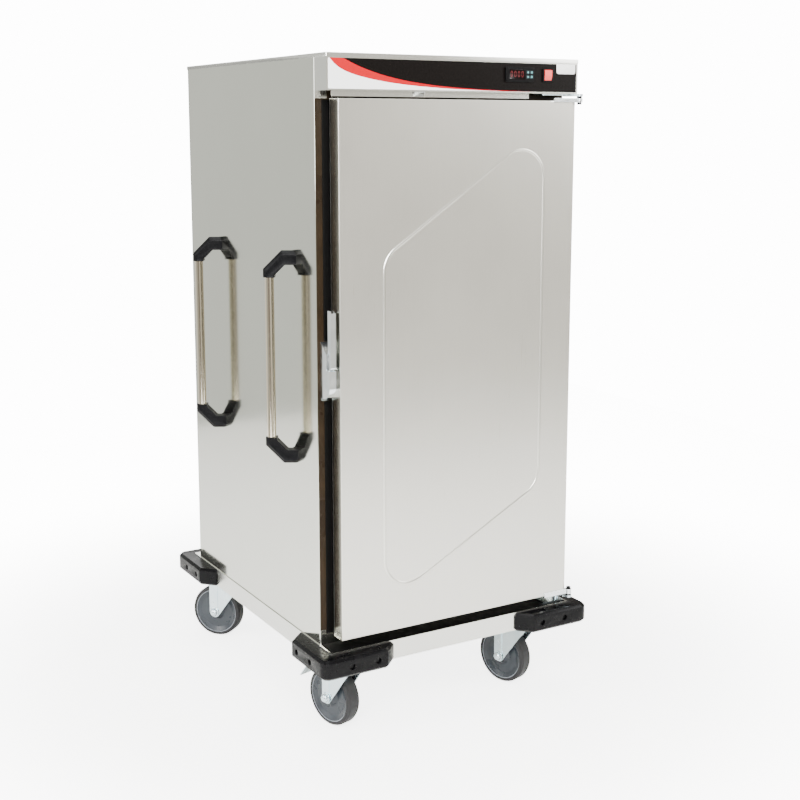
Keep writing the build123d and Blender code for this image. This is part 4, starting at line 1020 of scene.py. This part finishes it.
@dataclass
class DoorSurround:
    """Thin trim round the door: a dark frame and a dark ledge sheet, both painted shade, a bare corner, the
    fin of the seal and a spring clip.
    """

    side_in: float = 0.6
    foot_in: float = 1.0
    head_lap: float = 15.0
    frame_width: float = 46.0
    frame_rise: float = 0.2
    frame_foot: float = 38.0
    corner_rise: float = 0.4
    corner_gap: float = 0.2
    corner_lap: float = 1.5
    corner_round: float = 1.5
    lip_gap: float = 0.4
    lip_reach: float = 13.0
    lip_lap: float = 5.0
    lip_depth: float = 2.2
    lip_round: float = 1.8
    lip_parting: float = 2.0
    ledge_in: float = 4.5
    ledge_front: float = 3.2
    ledge_sink: float = 0.1
    ledge_rise: float = 0.4
    ledge_round: float = 4.0
    ledge_clear: float = 9.0
    clip: Extent = (258.0, 289.0, 1400.0, 1411.0)
    clip_set: float = 30.0
    clip_depth: float = 7.0
    clip_foot: Point = (0.86, 0.5, 1.0)
    clip_facing: float = 0.6
    clip_rim: float = 2.2
    clip_dish: float = 0.8

    def build(self) -> None:
        """Make every piece of trim."""
        self.make_shade_frame()
        self.make_head_corner()
        self.make_seal_lip()
        self.make_ledge_shade()
        self.make_clip()

    def head(self) -> float:
        """Return the height of the trim's upper end, behind the control housing, in metres."""
        return spot("control_housing", 0, 0, 0).z + self.head_lap * MM

    def make_shade_frame(self) -> None:
        """Dark frame round the door opening, painted shade for the gap beside the door: a plate bridged open
        in its middle, its foot cut back.
        """
        low, high = spot("left_side_panel", 0, 0, 0), spot("right_side_panel", 1, 0, 0)
        foot = low.z + self.foot_in * MM
        plate = Bench.block("shade_frame",
                            (low.x + self.side_in * MM, low.y - self.frame_rise * MM, foot),
                            (high.x - self.side_in * MM, low.y, self.head()))
        with Bench.editing(plate):
            Bench.pick_faces(plate, lambda side: abs(side.normal.y) > FACING)
            bpy.ops.mesh.inset(thickness=self.frame_width * MM, depth=0.0)
            bpy.ops.mesh.bridge_edge_loops()
            Bench.pick_faces(plate, lambda side: side.calc_center_median().z < foot + MM / 2)
            bpy.ops.transform.translate(value=(0.0, 0.0, self.frame_foot * MM))
            bpy.ops.mesh.select_all(action="SELECT")
            bpy.ops.mesh.normals_make_consistent(inside=False)
        Bench.finish(plate, Shade.PAINTED_SHADE_FRAME, "cabinet", "gasket_rubber")

    def make_head_corner(self) -> None:
        """Bare steel corner over the frame's upper left end, under the control housing."""
        low, door = spot("left_side_panel", 0, 0, 0), spot("door_skin", 0, 0, 1)
        corner = Bench.block("head_corner",
                             (low.x + self.side_in * MM, low.y - self.corner_rise * MM,
                              door.z + self.corner_gap * MM),
                             (door.x + self.corner_lap * MM, low.y, self.head()))
        with Bench.editing(corner, Pick.EDGE):
            Bench.pick_edges(corner, lambda middle, way: abs(way.y) > FACING)
            bpy.ops.mesh.bevel(offset=self.corner_round * MM, segments=3, affect="EDGES")
        Bench.finish(corner, Shade.SHEET_ACROSS, "cabinet", "stainless_sheet")

    def make_seal_lip(self) -> None:
        """Soft fin of the door's seal, over the frame beside the door and parted at the latch."""
        edge = spot("door_skin", 0, 0, 0).x
        rear = spot("left_side_panel", 0, 0, 0).y - self.lip_gap * MM
        low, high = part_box("door_gasket")
        latch = ("latch_body", "latch_strike")
        under = min(spot(node, 0, 0, 0).z for node in latch) - self.lip_parting * MM
        over = max(spot(node, 0, 0, 1).z for node in latch) + self.lip_parting * MM

        def on_fin(middle: Vector, way: Vector) -> bool:
            """Say whether an edge runs up the fin's free front."""
            return abs(way.z) > FACING and middle.x < edge and middle.y < rear - MM

        lips = []
        for foot, head in ((low.z, under), (over, high.z)):
            lip = Bench.block("gasket_lip", (edge - self.lip_reach * MM, rear - self.lip_depth * MM, foot),
                              (edge + self.lip_lap * MM, rear, head))
            with Bench.editing(lip, Pick.EDGE):
                Bench.pick_edges(lip, on_fin)
                bpy.ops.mesh.bevel(offset=self.lip_round * MM, segments=3, affect="EDGES")
            lips.append(lip)
        Bench.joined(lips[0], lips[1:])
        Bench.finish(lips[0], Shade.GASKET_AND_LEDGE_SHADE, "door", "gasket_rubber")

    def make_ledge_shade(self) -> None:
        """Dark sheet on the ledge of the base under the door, its front corners rounded: painted shade where
        the ledge lies under the door.
        """
        low, high = spot("base_pan", 0, 0, 1), spot("base_pan", 1, 0, 1)
        rear = spot("left_side_panel", 0, 0, 0).y
        cover = Bench.block("ledge_shade_sheet",
                            (low.x + self.ledge_in * MM, low.y + self.ledge_front * MM,
                             low.z - self.ledge_sink * MM),
                            (high.x - self.ledge_in * MM, rear, low.z + self.ledge_rise * MM))
        front = rear - self.ledge_clear * MM
        with Bench.editing(cover, Pick.EDGE):
            Bench.pick_edges(cover, lambda middle, way: abs(way.z) > FACING and middle.y < front)
            bpy.ops.mesh.bevel(offset=self.ledge_round * MM, segments=4, affect="EDGES")
        # Black finish on the ledge: painted shade.
        Bench.finish(cover, Shade.GASKET_AND_LEDGE_SHADE, "cabinet", "gasket_rubber", edge=0.15)

    def make_clip(self) -> None:
        """Small spring clip on the strip over the door, a block drawn in at its foot."""
        x0, x1, z0, z1 = self.clip
        left, foot = spot("left_side_panel", 0, 0, 0).x, spot("base_pan", 0, 0, 1).z
        strip = spot("control_housing", 0, 0, 0).y + self.clip_set * MM
        clip = Bench.block("strip_clip", (left + x0 * MM, strip - self.clip_depth * MM, foot + z0 * MM),
                           (left + x1 * MM, strip, foot + z1 * MM))
        with Bench.editing(clip):
            end = Bench.pick_faces(clip, lambda face: face.normal.z < -FACING)
            bpy.ops.transform.resize(value=self.clip_foot, center_override=(end.x, strip, end.z))
            Bench.pick_faces(clip, lambda face: face.normal.y < -self.clip_facing)
            bpy.ops.mesh.inset(thickness=self.clip_rim * MM, depth=-self.clip_dish * MM)
        Bench.finish(clip, Shade.CAST, "cabinet", "die_cast_metal", edge=0.6)


@dataclass
class RoofCover:
    """Roof cover with its rolled edge, which catches the light from above all round."""

    fold: float = 4.5
    fold_steps: int = 5
    near: float = 0.05

    def build(self) -> None:
        """Roll the outer edge of the cover over its CAD solid."""
        cover = Bench.from_node("top_cover", "rolled_roof_cover")
        low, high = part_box("top_cover")
        near = self.near * MM

        def on_rim(middle: Vector, way: Vector) -> bool:
            """Say whether an edge runs along the cover's outer top edge."""
            gap = min(middle.x - low.x, high.x - middle.x, middle.y - low.y, high.y - middle.y)
            return gap < near and high.z - middle.z < near and abs(way.z) < 1.0 - FACING

        with Bench.editing(cover, Pick.EDGE):
            Bench.pick_edges(cover, on_rim)
            bpy.ops.mesh.bevel(offset=self.fold * MM, segments=self.fold_steps, affect="EDGES")
        Bench.finish(cover, Shade.SHEET_ACROSS, "cabinet", "stainless_sheet")
        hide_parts("top_cover")


@dataclass
class Handles:
    """Moulded elbows of the side handles, with panelled cheeks and soft edges."""

    lean_deg: float = 32.0
    cheek_margin: float = 3.0
    cheek_depth: float = 0.9
    # Least area of a cheek, in square metres, and least share of its normal along the lean.
    cheek_area: float = 0.0012
    cheek_facing: float = 0.99
    edge: float = 1.6
    edge_steps: int = 3
    edge_deg: float = 20.0

    def build(self) -> None:
        """Remodel the elbows over their CAD solids."""
        elbows = Bench.from_node("handle_elbows", "handle_elbow_mouldings")
        lean = math.radians(self.lean_deg)
        way = Vector((math.sin(lean), math.cos(lean), 0.0))

        def is_cheek(face: bmesh.types.BMFace) -> bool:
            """Say whether a face is one of the large flat sides of an elbow."""
            return abs(face.normal @ way) > self.cheek_facing and face.calc_area() > self.cheek_area

        with Bench.editing(elbows):
            Bench.pick_faces(elbows, is_cheek)
            bpy.ops.mesh.inset(thickness=self.cheek_margin * MM, depth=-self.cheek_depth * MM)
        Bench.finish(elbows, Shade.HANDLE, "cabinet", "handle_moulding", edge=self.edge,
                     steps=self.edge_steps, angle=self.edge_deg)
        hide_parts("handle_elbows")


@dataclass
class Bumpers:
    """Corner bumpers with soft edges; their screws are CAD nodes."""

    edge: float = 2.0
    edge_steps: int = 3
    edge_deg: float = 25.0

    def build(self) -> None:
        """Remodel the bumpers over their CAD solids."""
        bumpers = Bench.from_node("corner_bumpers", "bumper_mouldings")
        Bench.finish(bumpers, Shade.BUMPER, "cabinet", "bumper_moulding", edge=self.edge,
                     steps=self.edge_steps, angle=self.edge_deg)
        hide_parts("corner_bumpers")


@dataclass
class RearTrim:
    """Blind rivets along the rear panel's folded edges and the screws of the mains inlet."""

    rivet: Profile = ((-1.0, 3.4), (0.2, 3.4), (0.9, 2.9), (1.4, 1.9), (1.4, 1.0), (0.9, 0.9))
    rivet_in: float = 7.0
    rivet_foot: float = 60.0
    rivet_pitch: float = 196.0
    rivet_rows: int = 8
    screw: Profile = ((-0.5, 4.2), (1.2, 4.2), (2.2, 3.2), (2.2, 1.8), (1.0, 1.6))
    screw_spread: float = 24.0
    flange: float = 4.0

    def build(self) -> None:
        """Set the rivets and the screws."""
        low, high = spot("left_side_panel", 0, 1, 0), spot("right_side_panel", 1, 1, 0)
        rows = [low.z + (self.rivet_foot + row * self.rivet_pitch) * MM for row in range(self.rivet_rows)]
        columns = (low.x + self.rivet_in * MM, high.x - self.rivet_in * MM)
        places = [lay(Vector((x, low.y, z)), Way.REAR.value) for x in columns for z in rows]
        rivets = Bench.repeat(Bench.turned("rear_rivets", self.rivet, sides=16), places)
        Bench.finish(rivets, Shade.ZINC, "cabinet", "zinc_plated_steel")
        middle = spot("mains_inlet", 0.5, 1.0, 0.5)
        flange = spot("rear_panel", 0, 1, 0).y + self.flange * MM
        step = self.screw_spread * MM
        places = [lay(Vector((middle.x + a * step, flange, middle.z + b * step)), Way.REAR.value)
                  for a in (-1, 1) for b in (-1, 1)]
        screws = Bench.repeat(Bench.turned("inlet_screws", self.screw, sides=16), places)
        Bench.finish(screws, Shade.ZINC, "cabinet", "zinc_plated_steel", edge=0.2)


@dataclass
class Casters:
    """What the solids of the casters leave out: bolts, seals, nuts, rim lines and hub bushes.

    The extent of a ring holds its inner and outer radius, then its lower and upper face.
    """

    corners: tuple[str, ...] = ("front_left", "front_right", "rear_left", "rear_right")
    bolt_spread: tuple[float, float] = (37.0, 44.0)
    bolt: Profile = ((0.0, 9.5), (1.6, 9.5), (1.6, 7.6), (5.4, 7.6), (6.2, 6.4))
    nut: Profile = ((0.0, 15.0), (1.6, 15.0), (2.2, 14.0), (2.2, 11.6), (6.5, 11.3), (9.6, 9.2), (11.4, 5.6),
                    (12.0, 1.2))
    rim: Extent = (66.8, 69.4, 17.4, 19.2)
    hub: Extent = (7.2, 16.4, 23.4, 24.5)
    seal: Extent = (26.0, 34.0, -4.5, 0.5)
    seal_rise: float = 14.0
    plate: float = 5.0
    leg_face: float = 31.0

    def build(self) -> None:
        """Dress all four casters."""
        for corner in self.corners:
            king = Vector(joint(f"swivel_{corner}")["pos_m"])
            axle = Vector(joint(f"roll_{corner}")["pos_m"])
            way = Vector(joint(f"roll_{corner}")["axis"])
            self.dress_plate(corner, king)
            self.dress_fork(corner, axle, way)
            self.dress_wheel(corner, axle, way)

    def dress_plate(self, corner: str, king: Vector) -> None:
        """Four hexagon bolts under the top plate and the dark seal over the ball race.

        Args:
            corner: The caster's corner.
            king: A point on its swivel axis.
        """
        foot = spot("caster_plates", 0, 0, 1).z - self.plate * MM
        bolt = Bench.turned(f"plate_bolts_{corner}", self.bolt, sides=6)
        x, y = self.bolt_spread
        places = [lay(Vector((king.x + sx * x * MM, king.y + sy * y * MM, foot)), Way.DOWN.value)
                  for sx in (-1, 1) for sy in (-1, 1)]
        Bench.finish(Bench.repeat(bolt, places), Shade.ZINC, "cabinet", "zinc_plated_steel", edge=0.4)
        seal = Bench.ring(f"race_seal_{corner}", *self.seal)
        race = spot("caster_plates", 0, 0, 0).z + self.seal_rise * MM
        Bench.place(seal, Matrix.Translation((king.x, king.y, race)))
        Bench.finish(seal, Shade.BOLT, "cabinet", "switch_moulding", edge=0.8)

    def dress_fork(self, corner: str, axle: Vector, way: Vector) -> None:
        """A domed nut on each end of the axle.

        Args:
            corner: The caster's corner.
            axle: The middle of its axle.
            way: Direction of the axle.
        """
        nut = Bench.turned(f"axle_nuts_{corner}", self.nut, sides=24)
        places = [lay(axle + way * side * self.leg_face * MM, way * side) for side in (-1.0, 1.0)]
        nuts = Bench.repeat(nut, places)
        Bench.finish(nuts, Shade.ZINC, f"caster_{corner}", "zinc_plated_steel", edge=0.4)

    def dress_wheel(self, corner: str, axle: Vector, way: Vector) -> None:
        """The pale line between tyre and core, and the bush in the hub, on both faces.

        Args:
            corner: The caster's corner.
            axle: The middle of its axle.
            way: Direction of the axle.
        """
        sides = [lay(axle, way * side) for side in (-1.0, 1.0)]
        rim = Bench.repeat(Bench.ring(f"rim_lines_{corner}", *self.rim, sides=72), sides)
        Bench.finish(rim, Shade.RIM_LINE, f"wheel_{corner}", "wheel_moulding", edge=0.5)
        hub = Bench.repeat(Bench.ring(f"hub_bushes_{corner}", *self.hub), sides)
        Bench.finish(hub, Shade.HUB, f"wheel_{corner}", "wheel_moulding", edge=0.4)


@dataclass(frozen=True)
class PaleWall:
    """A pale wall of the room: its colour, the way to it, and the cosines where it starts and is full."""

    colour: str
    towards: Point
    starts: float
    full: float


@dataclass(frozen=True)
class Softbox:
    """A soft square light: its name, its place and target, its side and its power in watts."""

    name: str
    at: Point
    target: Point
    side: float
    power: float


@dataclass
class Studio:
    """Floor, lights and the camera at the photo's angle; places and sizes are in metres."""

    camera_at: Point = (-1.81042, -3.2780, 1.5882)
    yaw_deg: float = 30.400
    pitch_deg: float = 9.702
    lens_mm: float = 58.85
    sensor_mm: float = 36.0
    shift_y: float = -0.062
    floor_size: float = 6.4
    room_colour: str = "#7C7871"
    room_light: float = 1.2
    backdrop_light: float = 14.0
    walls: tuple[PaleWall, ...] = (
        PaleWall("#AEAAA2", (-1.0, 0.05, 0.0), 0.60, 0.98),
        PaleWall("#AEAAA2", (1.0, 0.15, 0.0), 0.60, 0.98),
        PaleWall("#E9EAE4", (-0.55, 0.83, 0.0), 0.55, 0.95),
        PaleWall("#E2DED4", (0.45, -0.88, 0.05), 0.55, 0.97),
    )
    lights: tuple[Softbox, ...] = (
        Softbox("key_softbox", (-2.6, -4.2, 3.4), (0.0, -0.3, 0.9), 3.2, 760.0),
        Softbox("side_softbox", (-4.6, 0.4, 2.6), (-0.3, 0.0, 0.9), 3.0, 240.0),
        Softbox("right_softbox", (3.6, -2.8, 3.0), (0.2, -0.3, 0.8), 2.6, 150.0),
        Softbox("top_softbox", (0.0, 0.0, 4.6), (0.0, 0.0, 0.0), 3.4, 240.0),
        Softbox("back_softbox", (1.5, 4.0, 3.0), (0.0, 0.3, 0.9), 3.0, 110.0),
    )

    def build(self) -> None:
        """Make the floor, the lights, the surrounding light and the camera."""
        self.make_floor()
        self.make_lights()
        self.make_world()
        self.make_camera()

    def make_floor(self) -> None:
        """Add the plain pale floor."""
        bpy.ops.object.select_all(action="DESELECT")
        bpy.ops.mesh.primitive_plane_add(size=self.floor_size)
        floor = bpy.context.active_object
        floor.name = "studio_floor"
        palette.paint(floor, Shade.FLOOR)

    def make_lights(self) -> None:
        """Add the soft boxes, each aimed at its target."""
        for light in self.lights:
            data = bpy.data.lights.new(light.name, "AREA")
            data.size = light.side
            data.energy = light.power
            lamp = bpy.data.objects.new(light.name, data)
            lamp.location = light.at
            aim = Vector(light.target) - Vector(light.at)
            lamp.rotation_euler = aim.to_track_quat("-Z", "Y").to_euler()
            bpy.context.scene.collection.objects.link(lamp)

    def make_world(self) -> None:
        """Surround the cart with a dim room that has pale walls, before a white backdrop."""
        world = bpy.data.worlds.new("studio_world")
        world.use_nodes = True
        tree = world.node_tree
        tree.nodes.clear()
        way = add_node(tree, "ShaderNodeTexCoord").outputs["Generated"]
        room = linear(self.room_colour)
        for wall in self.walls:
            facing = add_node(tree, "ShaderNodeVectorMath", {
                0: way, 1: Vector(wall.towards).normalized(),
            }, operation="DOT_PRODUCT").outputs["Value"]
            pale = add_node(tree, "ShaderNodeMapRange", {
                "Value": facing,
                "From Min": wall.starts,
                "From Max": wall.full,
            }, interpolation_type="SMOOTHSTEP").outputs["Result"]
            room = add_node(tree, "ShaderNodeMix", {
                "Factor": pale, "A": room, "B": linear(wall.colour),
            }, data_type="RGBA").outputs["Result"]
        light = add_node(tree, "ShaderNodeBackground", {"Color": room, "Strength": self.room_light})
        backdrop = add_node(tree, "ShaderNodeBackground", {
            "Color": linear("#FFFFFF"), "Strength": self.backdrop_light,
        })
        seen = add_node(tree, "ShaderNodeLightPath").outputs["Is Camera Ray"]
        both = add_node(tree, "ShaderNodeMixShader", {
            0: seen, 1: light.outputs["Background"], 2: backdrop.outputs["Background"],
        })
        add_node(tree, "ShaderNodeOutputWorld", {"Surface": both.outputs["Shader"]})
        bpy.context.scene.world = world

    def make_camera(self) -> None:
        """Put the camera where the photo was taken from."""
        data = bpy.data.cameras.new("photo_camera")
        data.lens = self.lens_mm
        data.sensor_width = self.sensor_mm
        data.shift_y = self.shift_y
        camera = bpy.data.objects.new("photo_camera", data)
        camera.location = self.camera_at
        camera.rotation_euler = (math.radians(90 - self.pitch_deg), 0.0, -math.radians(self.yaw_deg))
        bpy.context.scene.collection.objects.link(camera)
        bpy.context.scene.camera = camera


NODE_SHADES: dict[str, Shade] = {
    "base_pan": Shade.SHEET_ACROSS,
    "chassis_channels": Shade.SHEET_ACROSS,
    "corner_bumpers": Shade.BUMPER,
    "bumper_screws": Shade.BOLT,
    "left_side_panel": Shade.SHEET,
    "right_side_panel": Shade.SHEET,
    "rear_panel": Shade.SHEET,
    "front_trim": Shade.SHEET,
    "top_cover": Shade.SHEET_ACROSS,
    "inner_liner": Shade.INNER,
    "wall_insulation": Shade.WOOL,
    "control_housing": Shade.SHEET_ACROSS,
    "control_overlay": Shade.FILM,
    "controller": Shade.SWITCH,
    "rocker_switch": Shade.SWITCH,
    "rocker": Shade.ROCKER,
    "door_skin": Shade.DOOR,
    "door_core": Shade.WOOL,
    "door_liner": Shade.INNER,
    "door_gasket": Shade.GASKET_AND_LEDGE_SHADE,
    "hinge_straps": Shade.CAST,
    "hinge_brackets": Shade.ZINC,
    "door_stops": Shade.GASKET_AND_LEDGE_SHADE,
    "hinge_pins": Shade.SWITCH,
    "latch_body": Shade.CAST,
    "latch_lever": Shade.CAST,
    "latch_strike": Shade.ZINC,
    "handle_elbows": Shade.HANDLE,
    "handle_tubes": Shade.TUBE,
    "caster_plates": Shade.ZINC,
    "fan_motor": Shade.MOTOR,
    "fan_wheel": Shade.ZINC,
    "heater_element": Shade.HEATER,
    "air_baffle": Shade.INNER,
    "tray_rack_left": Shade.INNER,
    "tray_rack_right": Shade.INNER,
    "mains_inlet": Shade.SWITCH,
}
FAMILY_SHADES: dict[str, Shade] = {
    "key_": Shade.KEY,
    "fork_": Shade.ZINC,
    "axle_": Shade.ZINC,
    "wheel_core_": Shade.CORE,
    "tyre_": Shade.TYRE,
    "brake_pedal_": Shade.ZINC,
}


def dress_nodes() -> None:
    """Give every CAD node its finish."""
    for name, node in frame["nodes"].items():
        family = next((f for f in FAMILY_SHADES if name.startswith(f)), None)
        shade = NODE_SHADES.get(name) or FAMILY_SHADES[family]
        palette.paint(node, shade)
        log.info("node %s: %s", name, shade.value.name)


def main() -> None:
    """Build everything in order."""
    logging.basicConfig(level=logging.INFO, format="%(name)s: %(message)s")
    dress_nodes()
    for assembly in (ControlPanel, DoorSurround, RoofCover, Handles, Bumpers, RearTrim, Casters, Studio):
        assembly().build()


if __name__ == "__main__":
    main()
